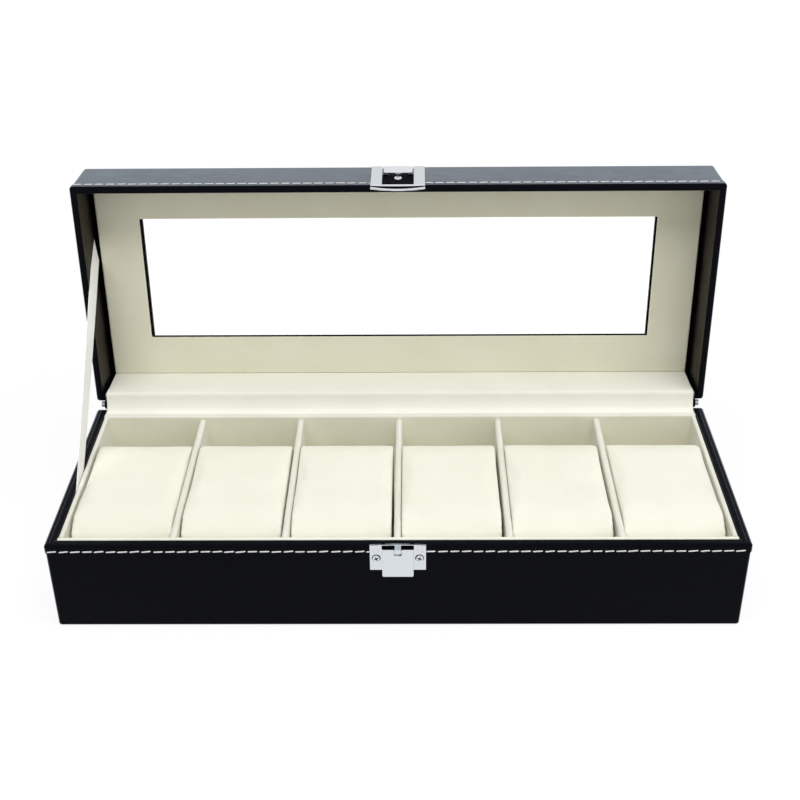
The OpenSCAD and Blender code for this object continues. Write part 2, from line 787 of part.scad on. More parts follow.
// Stitched band over the lid's rim, carried on up the inside of the front and side walls
module lid_rim_band() {
    band_top = lid_rim + lid_band_h;
    color(leather_colour) on_lid() {
        difference() {
            translate([0, 0, lid_rim + band_top]) mirror([0, 0, 1])
                wrapped_block(half_w, -half_d, half_d, lid_rim, band_top, edge_r, 1);
            slab([-board_x, board_front, lid_rim + leather_t],
                [board_x, board_front + lid_board_t, band_top + cut]);
            for (side = [-1, 1])
                translate([side * (board_x - lid_board_t / 2), 0, 0])
                    slab([-lid_board_t / 2, board_front, lid_rim + leather_t],
                        [lid_board_t / 2, lid_board_back_in, band_top + cut]);
            slab([-board_x, lid_board_back_in - seam, lid_rim + rebate],
                [board_x, board_back, band_top + cut]);
            slab([-lid_in_x, lid_in_front, 0], [lid_in_x, lid_board_back_in, band_top + cut]);
            slab([-hinge_half, lining_face - cut, 0], [hinge_half, half_d + cut, band_top + cut]);
        }
        slab([-lid_in_x - turn_in_t, lid_in_front - turn_in_t, band_top],
            [lid_in_x + turn_in_t, lid_in_front, top_board_under]);
        for (side = [-1, 1])
            translate([side * (lid_in_x + turn_in_t / 2), 0, 0])
                slab([-turn_in_t / 2, lid_in_front - turn_in_t, band_top],
                    [turn_in_t / 2, lid_board_back_in, top_board_under]);
    }
}

module lid_pane() {
    color("lightcyan", 0.4) on_lid()
        slab([-window_x - glass_lap, window_front - glass_lap, top_board_under - glass_t],
            [window_x + glass_lap, window_back + glass_lap, top_board_under]);
}

// Velvet frame that holds the pane up against the top board
module lid_inner_frame() {
    pocket = glass_lap + pane_slack;
    color(velvet_colour) on_lid() difference() {
        slab([-frame_x, frame_y0, frame_face], [frame_x, frame_y1, top_board_under]);
        window_hole(0, frame_face - cut, top_board_under + cut);
        window_hole(pocket, frame_face + inner_frame_t, top_board_under + cut);
    }
}

module lid_back_lining() {
    color(velvet_colour) on_lid()
        slab([-frame_x, lining_face, lid_rim + rebate], [frame_x, lid_board_back_in, top_board_under]);
}

// Foot on the lid's front, with a raised tongue rolled round the loop's pin
module loop_bracket() {
    half = bracket_tongue_w / 2;
    tongue_y0 = loop_pin_y - eye_r;
    color(metal_colour) on_lid() translate([clasp_x, 0, 0]) difference() {
        union() {
            slab([-half, face_y - bracket_t, foot_bottom], [half, face_y, tongue_bottom + bracket_t]);
            slab([-half, tongue_y0, tongue_bottom], [half, face_y, tongue_bottom + bracket_t]);
            slab([-half, tongue_y0, tongue_bottom], [half, tongue_y0 + bracket_t, loop_pin_z]);
            rod_x(-half, half, loop_pin_y, loop_pin_z, eye_r);
        }
        rod_x(-loop_w, loop_w, loop_pin_y, loop_pin_z, eye_bore_r);
        translate([-clasp_x, 0, 0]) bracket_screw_hole(screw_r + hole_slack);
    }
}

module bracket_screw() {
    head_y = face_y - bracket_t;
    color(metal_colour) on_lid() difference() {
        union() {
            rod_y(clasp_x, head_y - screw_head_h, head_y, bracket_screw_z, screw_head_r);
            rod_y(clasp_x, head_y - seam, face_y + lid_board_t, bracket_screw_z, screw_r);
        }
        translate([clasp_x, head_y - screw_head_h, bracket_screw_z])
            rotate([0, screw_turn, 0])
                cube([2 * screw_head_r + cut, 2 * screw_slot_d, screw_slot_w], center = true);
    }
}

module loop_pin() {
    color(metal_colour) on_lid()
        rod_x(clasp_x - loop_w / 2, clasp_x + loop_w / 2, loop_pin_y, loop_pin_z, clasp_pin_r);
}

// The loop's outline in the plane of the lid's front, inset by a margin; y = 0 at the pin
module loop_outline(margin) {
    half = loop_w / 2 - margin;
    drop = loop_pin_z - loop_bottom - margin;
    arc_r = (pow(loop_w / 2, 2) + pow(loop_arc, 2)) / (2 * loop_arc);
    intersection() {
        translate([-half, -drop]) square([2 * half, drop - margin / 2]);
        translate([0, arc_r - drop]) circle(r = arc_r, $fn = 180);
    }
}

// Hasp loop: sheet with a turned edge, rolled round its pin on both sides of the bracket
module clasp_loop() {
    hole_half = loop_hole_w / 2;
    arm = loop_w / 2 - hole_half;
    color(metal_colour) on_lid() translate([clasp_x, 0, 0]) difference() {
        union() {
            translate([0, loop_front + loop_t, loop_pin_z]) rotate([90, 0, 0])
                linear_extrude(loop_t) loop_outline(0);
            translate([0, loop_front + loop_flange, loop_pin_z]) rotate([90, 0, 0])
                linear_extrude(loop_flange) difference() {
                    loop_outline(0);
                    loop_outline(loop_flange_t);
                }
            for (side = [-1, 1]) translate([side * (hole_half + arm / 2), 0, 0])
                rod_x(-arm / 2, arm / 2, loop_pin_y, loop_pin_z, eye_r);
        }
        slab([-hole_half, loop_front - cut, loop_hole_bottom],
            [hole_half, face_y, loop_pin_z + eye_r + cut]);
        rod_x(-loop_w, loop_w, loop_pin_y, loop_pin_z, eye_bore_r);
    }
}

underside_felt();
bottom_board();
base_front_board();
base_back_board();
base_left_board();
base_right_board();
base_wrap();
base_rim_band();
tray_floor();
tray_front_wall();
tray_back_wall();
tray_left_wall();
tray_right_wall();
divider(1);  // divider_1
divider(2);  // divider_2
divider(3);  // divider_3
divider(4);  // divider_4
divider(5);  // divider_5
hinge_base_leaf();
hinge_pin();
base_hinge_brads();
hinge_cover();
ribbon_stay();
clasp_plate();
clasp_plate_screws();
clasp_lever_pin();
clasp_lever();
lid_top_board();
lid_front_board();
lid_back_board();
lid_left_board();
lid_right_board();
lid_wrap();
lid_rim_band();
lid_pane();
lid_inner_frame();
lid_back_lining();
hinge_lid_leaf();
lid_hinge_brads();
loop_bracket();
bracket_screw();
loop_pin();
clasp_loop();
cushion(1);  // cushion_1
cushion(2);  // cushion_2
cushion(3);  // cushion_3
cushion(4);  // cushion_4
cushion(5);  // cushion_5
cushion(6);  // cushion_6
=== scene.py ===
import json
import math
import random
import bmesh
import bpy
from mathutils import Matrix, Vector, noise


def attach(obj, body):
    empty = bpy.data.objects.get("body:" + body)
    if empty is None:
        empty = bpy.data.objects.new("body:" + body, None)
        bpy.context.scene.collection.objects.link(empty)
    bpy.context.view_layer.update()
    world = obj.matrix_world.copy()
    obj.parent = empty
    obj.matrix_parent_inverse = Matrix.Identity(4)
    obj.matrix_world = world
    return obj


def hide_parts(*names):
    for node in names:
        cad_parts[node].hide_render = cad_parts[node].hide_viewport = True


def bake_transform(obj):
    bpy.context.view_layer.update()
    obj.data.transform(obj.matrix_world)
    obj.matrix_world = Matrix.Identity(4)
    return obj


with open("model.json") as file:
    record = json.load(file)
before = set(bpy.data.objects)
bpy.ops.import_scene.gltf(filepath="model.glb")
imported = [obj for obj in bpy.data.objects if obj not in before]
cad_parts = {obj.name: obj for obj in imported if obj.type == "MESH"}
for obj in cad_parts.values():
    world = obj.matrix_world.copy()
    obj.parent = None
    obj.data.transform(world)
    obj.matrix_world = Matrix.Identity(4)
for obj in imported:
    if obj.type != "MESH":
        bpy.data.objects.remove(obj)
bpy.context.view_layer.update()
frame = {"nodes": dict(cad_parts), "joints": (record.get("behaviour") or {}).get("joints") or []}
mm = 0.001
touch = 0.01  # places closer than this are the same
claspX = 0.3  # the middle of the clasp
quarterTurn = Matrix.Rotation(math.radians(90), 3, "X")
print("model loaded")

# the lid is modelled shut, in millimetres, and turned open about the hinge pin
lidHinge = next(j for j in frame["joints"] if j["name"] == "lid_hinge")
hingePin = Vector((0, 57.15, 46.0))
openTurn = math.radians(lidHinge["range_deg"][0])


shot = {"place": (7.59, -484.81, 378.42), "yaw": 0.765, "pitch": 31.38, "roll": 0.58, "lens": 57.69}


def setCamera():
    data = bpy.data.cameras.new("shotCamera")
    data.lens = shot["lens"]
    data.sensor_width = 36
    data.clip_start = 0.01
    camera = bpy.data.objects.new("shotCamera", data)
    bpy.context.collection.objects.link(camera)
    turn = Matrix.Rotation(math.radians(shot["yaw"]), 4, "Z")
    turn = turn @ Matrix.Rotation(math.radians(90 - shot["pitch"]), 4, "X")
    turn = turn @ Matrix.Rotation(math.radians(-shot["roll"]), 4, "Z")
    camera.matrix_world = Matrix.Translation(Vector(shot["place"]) * mm) @ turn
    bpy.context.scene.camera = camera


setCamera()


class Wire:
    # one output of a material, so that sums on it read as plain Python
    def __init__(self, look, socket):
        self.look = look
        self.socket = socket

    def maths(self, kind, *others):
        return self.look.add("Math", {"operation": kind}, dict(enumerate((self,) + others)))

    def __add__(self, other):
        return self.maths("ADD", other)

    def __mul__(self, other):
        return self.maths("MULTIPLY", other)

    def __sub__(self, other):
        return self.maths("SUBTRACT", other)

    def __rsub__(self, other):
        return self.look.add("Math", {"operation": "SUBTRACT"}, {0: other, 1: self})

    __radd__ = __add__
    __rmul__ = __mul__

    def ramp(self, low, high):
        # 0 below low, 1 above high, smooth between
        return self.look.add("MapRange", {"interpolation_type": "SMOOTHSTEP"},
                             {"Value": self, "From Min": low, "From Max": high})


class Look:
    # a node tree and the one way to put a node in it
    def __init__(self, name, tree=None):
        if tree is None:
            self.material = bpy.data.materials.new(name)
            self.material.use_nodes = True
            tree = self.material.node_tree
        tree.nodes.clear()
        self.tree = tree

    def add(self, kind, settings=None, sockets=None, out=0):
        node = self.tree.nodes.new("ShaderNode" + kind)
        for key, value in (settings or {}).items():
            setattr(node, key, value)
        for key, value in (sockets or {}).items():
            if isinstance(value, Wire):
                self.tree.links.new(value.socket, node.inputs[key])
            else:
                node.inputs[key].default_value = value
        if len(node.outputs):
            return Wire(self, node.outputs[out])

    def place(self):
        return self.add("TexCoord", out=3)

    def noise(self, where, scale, detail=2.0, rough=0.5):
        return self.add("TexNoise", {},
                        {"Vector": where, "Scale": scale, "Detail": detail, "Roughness": rough})

    def rays(self, *names):
        # the greatest of these outputs of the light path
        outputs = self.add("LightPath").socket.node.outputs
        found = Wire(self, outputs[names[0]])
        for name in names[1:]:
            found = found.maths("MAXIMUM", Wire(self, outputs[name]))
        return found

    def blend(self, share, first, second):
        return self.add("Mix", {"data_type": "RGBA"}, {0: share, 6: first, 7: second}, out=2)

    def relief(self, height, depth, strength=1.0, over=None):
        sockets = {"Height": height, "Distance": depth, "Strength": strength}
        if over is not None:
            sockets["Normal"] = over
        return self.add("Bump", {}, sockets)

    def finish(self, **sockets):
        named = {key.replace("_", " "): value for key, value in sockets.items()}
        shader = self.add("BsdfPrincipled", {}, named)
        self.add("OutputMaterial", {}, {"Surface": shader})
        return self


studio = {
    "ambient": 0.17,  # world light on the object
    "lamps": {
        "overhead": {"place": (0.0, -0.22, 1.28), "size": (1.5, 1.1), "watts": 17.0},
        "front": {"place": (-0.25, -1.30, 0.85), "size": (0.9, 0.7), "watts": 1.1},
        "right": {"place": (1.25, -0.35, 0.60), "size": (0.8, 0.8), "watts": 4.5},
    },
    "aim": (0, 0.02, 0.05), "floorHalf": 6,
    "floorTone": 0.90,  # as the object is lit by it
    "floorSeen": 0.15, "floorLift": 0.87,  # as it is seen: painted, and lifted towards white
    "liftFrom": 0.3, "liftTo": 1.0,  # metres from the object, to a lift of 1
}


def seenStraight(look):
    # 1 for what the camera sees straight, in metal or through glass
    return look.rays("Is Camera Ray", "Is Glossy Ray", "Is Transmission Ray")


def throughGlass(look):
    # 1 for what is seen through the pane
    panes = look.rays("Transparent Depth").maths("MINIMUM", 1.0)
    return panes.maths("MAXIMUM", look.rays("Is Transmission Ray")) * (1 - look.rays("Is Shadow Ray"))


def grey(value):
    return (value, value, value, 1)


def setStudio():
    world = bpy.data.worlds.new("studioWorld")
    world.use_nodes = True
    bpy.context.scene.world = world
    sky = Look("studioWorld", world.node_tree)
    tone = studio["ambient"] + seenStraight(sky) * (1 - studio["ambient"])
    back = sky.add("Background", {}, {"Color": grey(1), "Strength": tone})
    sky.add("OutputWorld", {}, {"Surface": back})
    for name, lamp in studio["lamps"].items():
        data = bpy.data.lights.new(name + "Lamp", "AREA")
        data.shape = "RECTANGLE"
        data.size, data.size_y = lamp["size"]
        data.energy = lamp["watts"]
        holder = bpy.data.objects.new(name + "Lamp", data)
        bpy.context.collection.objects.link(holder)
        aim = Vector(studio["aim"]) - Vector(lamp["place"])
        holder.visible_glossy = False
        turn = aim.to_track_quat("-Z", "Y").to_matrix().to_4x4()
        holder.matrix_world = Matrix.Translation(lamp["place"]) @ turn
    bm = bmesh.new()
    bmesh.ops.create_grid(bm, x_segments=1, y_segments=1, size=studio["floorHalf"])
    floor = bpy.data.objects.new("studioFloor", bpy.data.meshes.new("studioFloor"))
    bm.to_mesh(floor.data)
    bm.free()
    bpy.context.collection.objects.link(floor)
    paint = Look("studioFloorPaint")
    seen = seenStraight(paint)
    around = paint.add("VectorMath", {"operation": "LENGTH"}, {0: paint.place()}, out=1)
    away = around.ramp(studio["liftFrom"], studio["liftTo"])
    lift = seen * (studio["floorLift"] + away * (1 - studio["floorLift"]))
    lift = lift.maths("MAXIMUM", throughGlass(paint))
    tone = paint.blend(seen, grey(studio["floorTone"]), grey(studio["floorSeen"]))
    paint.finish(Base_Color=tone, Roughness=0.9, Specular_IOR_Level=0.0,
                 Emission_Color=paint.blend(lift, grey(0), grey(1)), Emission_Strength=1.0)
    floor.data.materials.append(paint.material)


setStudio()
print("studio set")


def leatheretteLook(name, sheen, gloss):
    # fine pebbled grain over a soft waviness, with darker creases
    look = Look(name)
    where = look.place()
    wander = look.noise(where, 260, 2)
    grain = look.add("TexVoronoi", {"feature": "SMOOTH_F1"},
                     {"Vector": where, "Scale": 1150, "Smoothness": 0.6, "Randomness": 0.9})
    pores = look.noise(where, 3200, 2)
    drawn = look.add("Mapping", {}, {"Vector": where, "Scale": (0.22, 1.0, 1.6)})
    streaks = look.noise(drawn, 520, 3, 0.6)
    waves = look.noise(where, 42, 3)
    pebble = 1 - grain.ramp(0.10, 0.75)
    height = pebble * 0.45 + pores * 0.12 + streaks * 0.43
    worn = waves.ramp(0.42, 0.72)
    tone = look.blend(pebble * 0.6 + wander * 0.4,
                      (0.0006, 0.0008, 0.0019, 1), (0.0017, 0.0024, 0.0053, 1))
    fine = look.relief(height, 0.00010, 0.4)
    soft = look.relief(waves, 0.0009, 0.2, fine)
    rough = 0.30 + worn * 0.08 + pores * 0.06
    # a gloss that only shows where the surface is seen nearly edge on
    hide = look.add("BsdfPrincipled", {}, {
        "Base Color": tone, "Roughness": rough, "Normal": soft, "IOR": 1.13})
    shine = look.add("BsdfGlossy", {}, {"Color": gloss + (1,), "Roughness": 0.3, "Normal": soft})
    facing = look.add("LayerWeight", {}, {"Blend": 0.5}, out=1)
    edgeOn = facing.ramp(0.46, 0.78) * (0.18 + streaks * 0.14) * sheen
    mixed = look.add("MixShader", {}, {0: edgeOn, 1: hide, 2: shine})
    look.add("OutputMaterial", {}, {"Surface": mixed})
    return look


def flockLook(name, pale, deep, nap=5200.0):
    # short flock: a mottled nap, a little light at the edges
    look = Look(name)
    where = look.place()
    strokes = look.noise(where, 36, 4, 0.6)
    cloud = look.noise(where, 9, 2)
    pile = look.noise(where, nap, 2, 0.7)
    fleck = look.noise(where, 1500, 2)
    share = (strokes * 0.55 + cloud * 0.25 + pile * 0.2).ramp(0.32, 0.68)
    tone = look.blend(share, deep, pale)
    lift = look.relief(pile * 0.5 + fleck * 0.5, 0.00010, 0.5)
    soft = look.relief(strokes, 0.0006, 0.3, lift)
    return look.finish(Base_Color=tone, Roughness=0.92 + fleck * 0.06, Normal=soft,
                       Specular_IOR_Level=0.15, Sheen_Weight=0.18, Sheen_Roughness=0.45,
                       Sheen_Tint=(1.0, 0.98, 0.90, 1))


def boardLook():
    look = Look("fibreBoard")
    where = look.place()
    fibre = look.noise(where, 900, 4, 0.7)
    patch = look.noise(where, 60, 2)
    tone = look.blend(fibre * 0.7 + patch * 0.3, (0.30, 0.20, 0.12, 1), (0.52, 0.39, 0.26, 1))
    return look.finish(Base_Color=tone, Roughness=0.78 + patch * 0.1,
                       Normal=look.relief(fibre, 0.00012, 0.5))


def feltLook():
    look = Look("blackFelt")
    where = look.place()
    fibre = look.noise(where, 2400, 4, 0.75)
    clump = look.noise(where, 300, 2)
    matted = fibre * 0.6 + clump * 0.4
    tone = look.blend(matted, (0.010, 0.010, 0.011, 1), (0.035, 0.035, 0.037, 1))
    return look.finish(Base_Color=tone, Roughness=0.95, Normal=look.relief(matted, 0.0002, 0.7),
                       Sheen_Weight=0.2, Specular_IOR_Level=0.2)


def nickelLook(name, tone, rough=0.11):
    # plated sheet: faint rolling marks and a few soft smudges
    look = Look(name)
    where = look.place()
    turned = look.add("Mapping", {}, {"Vector": where, "Scale": (1.0, 1.0, 14.0)})
    lines = look.noise(turned, 1500, 3, 0.6)
    smudge = look.noise(where, 260, 2)
    colour = look.blend(smudge, tuple(0.93 * c for c in tone) + (1,), tone + (1,))
    worn = rough + smudge.ramp(0.45, 0.8) * 0.10 + lines * 0.04
    return look.finish(Base_Color=colour, Metallic=1.0, Roughness=worn,
                       Normal=look.relief(lines * 0.7 + smudge * 0.3, 0.00001, 0.5))


def steelLook():
    look = Look("hingeSteel")
    where = look.place()
    drawn = look.add("Mapping", {}, {"Vector": where, "Scale": (0.06, 1.0, 1.0)})
    lines = look.noise(drawn, 5200, 3, 0.7)
    dull = look.noise(where, 180, 3)
    tone = look.blend(lines * 0.5 + dull * 0.5, (0.33, 0.33, 0.34, 1), (0.60, 0.60, 0.60, 1))
    return look.finish(Base_Color=tone, Metallic=1.0, Roughness=0.30 + dull * 0.16,
                       Normal=look.relief(lines, 0.00002, 0.6))


def paneLook():
    look = Look("clearPane")
    where = look.place()
    haze = look.noise(where, 30, 2)
    glass = look.add("BsdfPrincipled", {}, {
        "Base Color": (0.995, 1, 0.998, 1), "Roughness": haze * 0.01, "IOR": 1.45, "Transmission Weight": 1.0})
    clear = look.add("BsdfTransparent", {}, {"Color": (0.99, 1, 0.995, 1)})
    lamp = look.rays("Is Shadow Ray", "Is Diffuse Ray")
    facing = look.add("LayerWeight", {}, {"Blend": 0.5}, out=1)
    through = lamp.maths("MAXIMUM", 0.92 - facing.ramp(0.45, 1.0) * 0.7)
    mixed = look.add("MixShader", {}, {0: through, 1: glass, 2: clear})
    look.add("OutputMaterial", {}, {"Surface": mixed})
    return look


def satinLook():
    # close ribs across the ribbon, from its own UV map
    look = Look("whiteSatin")
    weave = look.add("UVMap", {"uv_map": "weave"})
    ribs = look.add("TexWave", {"wave_type": "BANDS", "bands_direction": "Y"},
                    {"Vector": weave, "Scale": 450.0, "Distortion": 0.4, "Detail": 1.0})
    cloud = look.noise(weave, 120, 2)
    tone = look.blend(cloud, (0.96, 0.96, 0.965, 1), (0.985, 0.985, 0.985, 1))
    return look.finish(Base_Color=tone, Roughness=0.38 + cloud * 0.12,
                       Normal=look.relief(ribs, 0.00004, 0.35),
                       Sheen_Weight=1.0, Sheen_Roughness=0.4, Anisotropic=0.4)


def threadLook():
    look = Look("whiteThread")
    where = look.place()
    ply = look.noise(where, 2600, 2, 0.6)
    dirt = look.noise(where, 120, 2)
    tone = look.blend(ply * 0.6 + dirt * 0.4, (0.66, 0.66, 0.67, 1), (0.92, 0.92, 0.91, 1))
    return look.finish(Base_Color=tone, Roughness=0.6 + ply * 0.2,
                       Normal=look.relief(ply, 0.00012, 0.7), Sheen_Weight=0.2)


def stainedEdgeAndShadeLook():
    # card stained black where it is cut; the same black is also painted shade in the clasp's slots, the
    # screws' recesses and gaps, the bend of the loop's foot and the bores of the hinge ends
    look = Look("stainedEdgeAndPaintedShade")
    where = look.place()
    fibre = look.noise(where, 1800, 3, 0.7)
    tone = look.blend(fibre, (0.0016, 0.0016, 0.0022, 1), (0.0050, 0.0050, 0.0056, 1))
    return look.finish(Base_Color=tone, Roughness=0.85 + fibre * 0.1, Specular_IOR_Level=0.05,
                       Normal=look.relief(fibre, 0.00008, 0.6))


leatherette = leatheretteLook("blackLeatherette", 1.0, (0.76, 0.88, 1.0))
# the inner walls' leatherette: its gloss is tinted warm brown, a painted reflection of the cream inside
innerLeatheretteWithPaintedReflection = leatheretteLook("innerLeatheretteWithPaintedReflection", 0.14, (0.84, 0.66, 0.32))
foldedLeatherette = leatheretteLook("foldedLeatherette", 1.6, (0.80, 0.88, 0.96))
velvet = flockLook("creamFlock", (0.96, 0.95, 0.80, 1), (0.91, 0.89, 0.735, 1))
# a darker, yellower copy of the cream flock for the upright frame panel: painted shade
panelVelvetPaintedShade = flockLook("panelFlockPaintedShade", (0.925, 0.91, 0.745, 1), (0.875, 0.855, 0.675, 1))
# a darker copy of the cream flock for lit tops and edges: painted shade
edgeVelvetPaintedShade = flockLook("edgeFlockPaintedShade", (0.82, 0.815, 0.73, 1), (0.755, 0.75, 0.66, 1))
# a paler, less yellow copy of the cream flock for faces in full light: painted light
paleVelvetPaintedLight = flockLook("paleFlockPaintedLight", (0.935, 0.93, 0.835, 1), (0.895, 0.885, 0.785, 1))
cushionVelvetAndPaintedShade = flockLook("cushionVelvetAndPaintedShade", (0.89, 0.89, 0.775, 1), (0.845, 0.84, 0.72, 1), nap=4200.0)
board = boardLook()
felt = feltLook()
nickel = nickelLook("brightNickel", (0.70, 0.735, 0.775))
loopNickel = nickelLook("loopNickel", (0.60, 0.64, 0.675))
steel = steelLook()
pane = paneLook()
satin = satinLook()
thread = threadLook()
stainedEdgeAndPaintedShade = stainedEdgeAndShadeLook()

# the first part of a name that fits gives the finish
dressed = [(f"lid_{side}_board", stainedEdgeAndPaintedShade) for side in ("top", "front", "back", "left", "right")]
dressed += [("felt", felt), ("board", board), ("hinge_", steel), ("lid_pane", pane),
            ("tray_floor", velvet), ("_pin", nickel)]
for name, node in frame["nodes"].items():
    look = next((look for part, look in dressed if part in name), nickel)
    for slot in node.material_slots:
        slot.material = look.material
print("finishes made")


def addBlock(bm, corner, opposite):
    made = bmesh.ops.create_cube(bm, size=1)["verts"]
    corner, opposite = Vector(corner), Vector(opposite)
    bmesh.ops.scale(bm, vec=[abs(c) for c in opposite - corner], verts=made)
    bmesh.ops.translate(bm, vec=(corner + opposite) / 2, verts=made)
    bm.normal_update()


def addRod(bm, start, end, radius, sides=24):
    start, end = Vector(start), Vector(end)
    made = bmesh.ops.create_cone(bm, cap_ends=True, segments=sides, radius1=radius, radius2=radius,
                                 depth=(end - start).length)["verts"]
    turn = (end - start).to_track_quat("Z", "Y").to_matrix()
    bmesh.ops.rotate(bm, cent=(0, 0, 0), matrix=turn, verts=made)
    bmesh.ops.translate(bm, vec=(start + end) / 2, verts=made)
    bm.normal_update()
    return made


def middle(item):
    return sum((v.co for v in item.verts), Vector()) / len(item.verts)


def span(edge, axis):
    # how far an edge runs along an axis
    return abs(edge.verts[0].co[axis] - edge.verts[1].co[axis])


def within(point, low, high, slack=touch):
    return (low[0] - slack < point.x < high[0] + slack
            and low[1] - slack < point.y < high[1] + slack)


def vertsOf(geom):
    return [item for item in geom if isinstance(item, bmesh.types.BMVert)]


def edgesWhere(bm, test):
    return [e for e in bm.edges if test(e.verts[0].co) and test(e.verts[1].co)]


def facesWhere(bm, test):
    bm.normal_update()
    return [f for f in bm.faces if test(middle(f), f.normal)]


def roundEdges(bm, edges, radius, steps=4):
    bmesh.ops.bevel(bm, geom=edges, offset=radius, offset_type="OFFSET", segments=steps, profile=0.5,
                    material=-1, affect="EDGES", clamp_overlap=True)
    bm.normal_update()


def sliceAt(bm, axis, place):
    point, normal = Vector(), Vector()
    point[axis], normal[axis] = place, 1
    bmesh.ops.bisect_plane(bm, geom=bm.verts[:] + bm.edges[:] + bm.faces[:], dist=1e-5,
                           plane_co=point, plane_no=normal)
    bm.normal_update()


def rimOf(faces):
    return [e for f in faces for e in f.edges if sum(g in faces for g in e.link_faces) == 1]


def cutWindow(bm, corner, opposite, through):
    # a square-edged opening right through a plate; through is the axis that it runs along
    across = [a for a in range(3) if a != through]
    low = {a: min(corner[a], opposite[a]) for a in across}
    high = {a: max(corner[a], opposite[a]) for a in across}
    for axis in across:
        sliceAt(bm, axis, low[axis])
        sliceAt(bm, axis, high[axis])
    inside = {f for f in bm.faces if abs(f.normal[through]) > 0.9
              and all(low[a] < middle(f)[a] < high[a] for a in across)}
    rims = rimOf(inside)
    bmesh.ops.delete(bm, geom=list(inside), context="FACES")
    bmesh.ops.bridge_loops(bm, edges=[e for e in set(rims) if e.is_valid])
    bm.normal_update()


def addSkin(bm, low, high, openAt, cornerRound, edgeRound):
    # a box with the face at openAt left off and its corners and far edge rounded
    addBlock(bm, low, high)
    closedAt = low[2] if abs(openAt - high[2]) < touch else high[2]
    bmesh.ops.delete(bm, geom=facesWhere(bm, lambda c, n: abs(c.z - openAt) < touch), context="FACES")
    roundEdges(bm, [e for e in bm.edges if span(e, 2) > 1], cornerRound, 5)
    roundEdges(bm, edgesWhere(bm, lambda p: abs(p.z - closedAt) < touch), edgeRound, 5)


def turnIn(bm, level, low, high, to, radius):
    # opens the face at this level and turns its rim in as far as to
    for axis in (0, 1):
        sliceAt(bm, axis, low[axis])
        sliceAt(bm, axis, high[axis])
    opened = facesWhere(bm, lambda c, n: abs(c.z - level) < touch and within(c, low, high))
    rim = set(rimOf(opened))
    bmesh.ops.delete(bm, geom=opened, context="FACES")
    if to is None:
        return
    grown = bmesh.ops.extrude_edge_only(bm, edges=[e for e in rim if e.is_valid])["geom"]
    bmesh.ops.translate(bm, vec=(0, 0, to - level), verts=vertsOf(grown))
    bm.normal_update()
    lip = [e for e in edgesWhere(bm, lambda p: abs(p.z - level) < touch and within(p, low, high))
           if len(e.link_faces) == 2 and any(abs(f.normal.z) < 0.5 for f in e.link_faces)]
    roundEdges(bm, lip, radius, 3)


def raiseFlap(bm, half, back, level, to):
    # carries the open edge at the back on to another level, between the ends of the hinge
    for side in (-1, 1):
        sliceAt(bm, 0, side * half)
    flap = edgesWhere(bm, lambda p: abs(p.z - level) < touch and p.y > back - touch
                      and abs(p.x) < half + touch)
    grown = bmesh.ops.extrude_edge_only(bm, edges=flap)["geom"]
    bmesh.ops.translate(bm, vec=(0, 0, to - level), verts=vertsOf(grown))


def growEdges(bm, edges):
    # extrudes a chain of edges in place and gives its new vertices and edges
    grown = bmesh.ops.extrude_edge_only(bm, edges=edges)["geom"]
    fresh = vertsOf(grown)
    return fresh, [e for e in grown if isinstance(e, bmesh.types.BMEdge) and all(v in fresh for v in e.verts)]


def pushFaces(bm, faces, by):
    # moves faces and walls the way that they leave behind
    grown = bmesh.ops.extrude_face_region(bm, geom=faces)["geom"]
    bmesh.ops.delete(bm, geom=[f for f in faces if f.is_valid], context="FACES_ONLY")
    bmesh.ops.translate(bm, vec=by, verts=vertsOf(grown))


def finishPiece(bm, name, body, look, nodes=(), shut=False, wall=0.0, soften=0.0,
                steps=2, crisp=32, ride=True, other=None):
    # soften rounds what is left sharp; wall gives an open skin its thickness, inwards
    # other: a second finish and the faces that take it
    if other:
        for face in facesWhere(bm, other[1]):
            face.material_index = 1
    if shut:
        bmesh.ops.rotate(bm, cent=hingePin, matrix=Matrix.Rotation(openTurn, 3, "X"), verts=bm.verts)
    bmesh.ops.scale(bm, vec=(mm, mm, mm), verts=bm.verts)
    bmesh.ops.recalc_face_normals(bm, faces=bm.faces)
    outermost = max(bm.faces, key=lambda f: abs(middle(f).x))
    if wall and outermost.normal.x * middle(outermost).x < 0:
        bmesh.ops.reverse_faces(bm, faces=bm.faces)
    mesh = bpy.data.meshes.new(name)
    bm.to_mesh(mesh)
    bm.free()
    mesh.shade_smooth()
    piece = bpy.data.objects.new(name, mesh)
    bpy.context.collection.objects.link(piece)
    mesh.materials.append(look.material)
    if other:
        mesh.materials.append(other[0].material)
    if wall:
        shell = piece.modifiers.new("wall", "SOLIDIFY")
        shell.thickness = wall * mm
        shell.offset = -1
        shell.use_even_offset = True
    if soften:
        edge = piece.modifiers.new("softEdges", "BEVEL")
        edge.width = soften * mm
        edge.segments = steps
        edge.limit_method = "ANGLE"
        edge.angle_limit = math.radians(crisp)
    else:
        mesh.set_sharp_from_angle(angle=math.radians(crisp))
    even = piece.modifiers.new("evenShading", "WEIGHTED_NORMAL")
    even.keep_sharp = True
    if nodes:
        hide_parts(*nodes)
    if ride:
        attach(piece, body)
    return piece


baseCover = {"half": 149.7, "front": -54.95, "back": 55.25, "foot": 0.2, "top": 40.6, "backTop": 43.5,
             "hingeHalf": 145.3, "cornerRound": 1.5, "footRound": 1.1, "turnedUnder": 1.8, "thick": 0.6}


def makeBaseCover():
    s = baseCover
    bm = bmesh.new()
    addSkin(bm, (-s["half"], s["front"], s["foot"]), (s["half"], s["back"], s["top"]), s["top"],
            s["cornerRound"], s["footRound"])
    inner = s["half"] - s["turnedUnder"]
    turnIn(bm, s["foot"], (-inner, s["front"] + s["turnedUnder"]), (inner, s["back"] - s["turnedUnder"]),
           None, 0)
    raiseFlap(bm, s["hingeHalf"], s["back"], s["top"], s["backTop"])
    finishPiece(bm, "baseCover", "base", leatherette, ("base_wrap",),
                wall=s["thick"], soften=0.12)


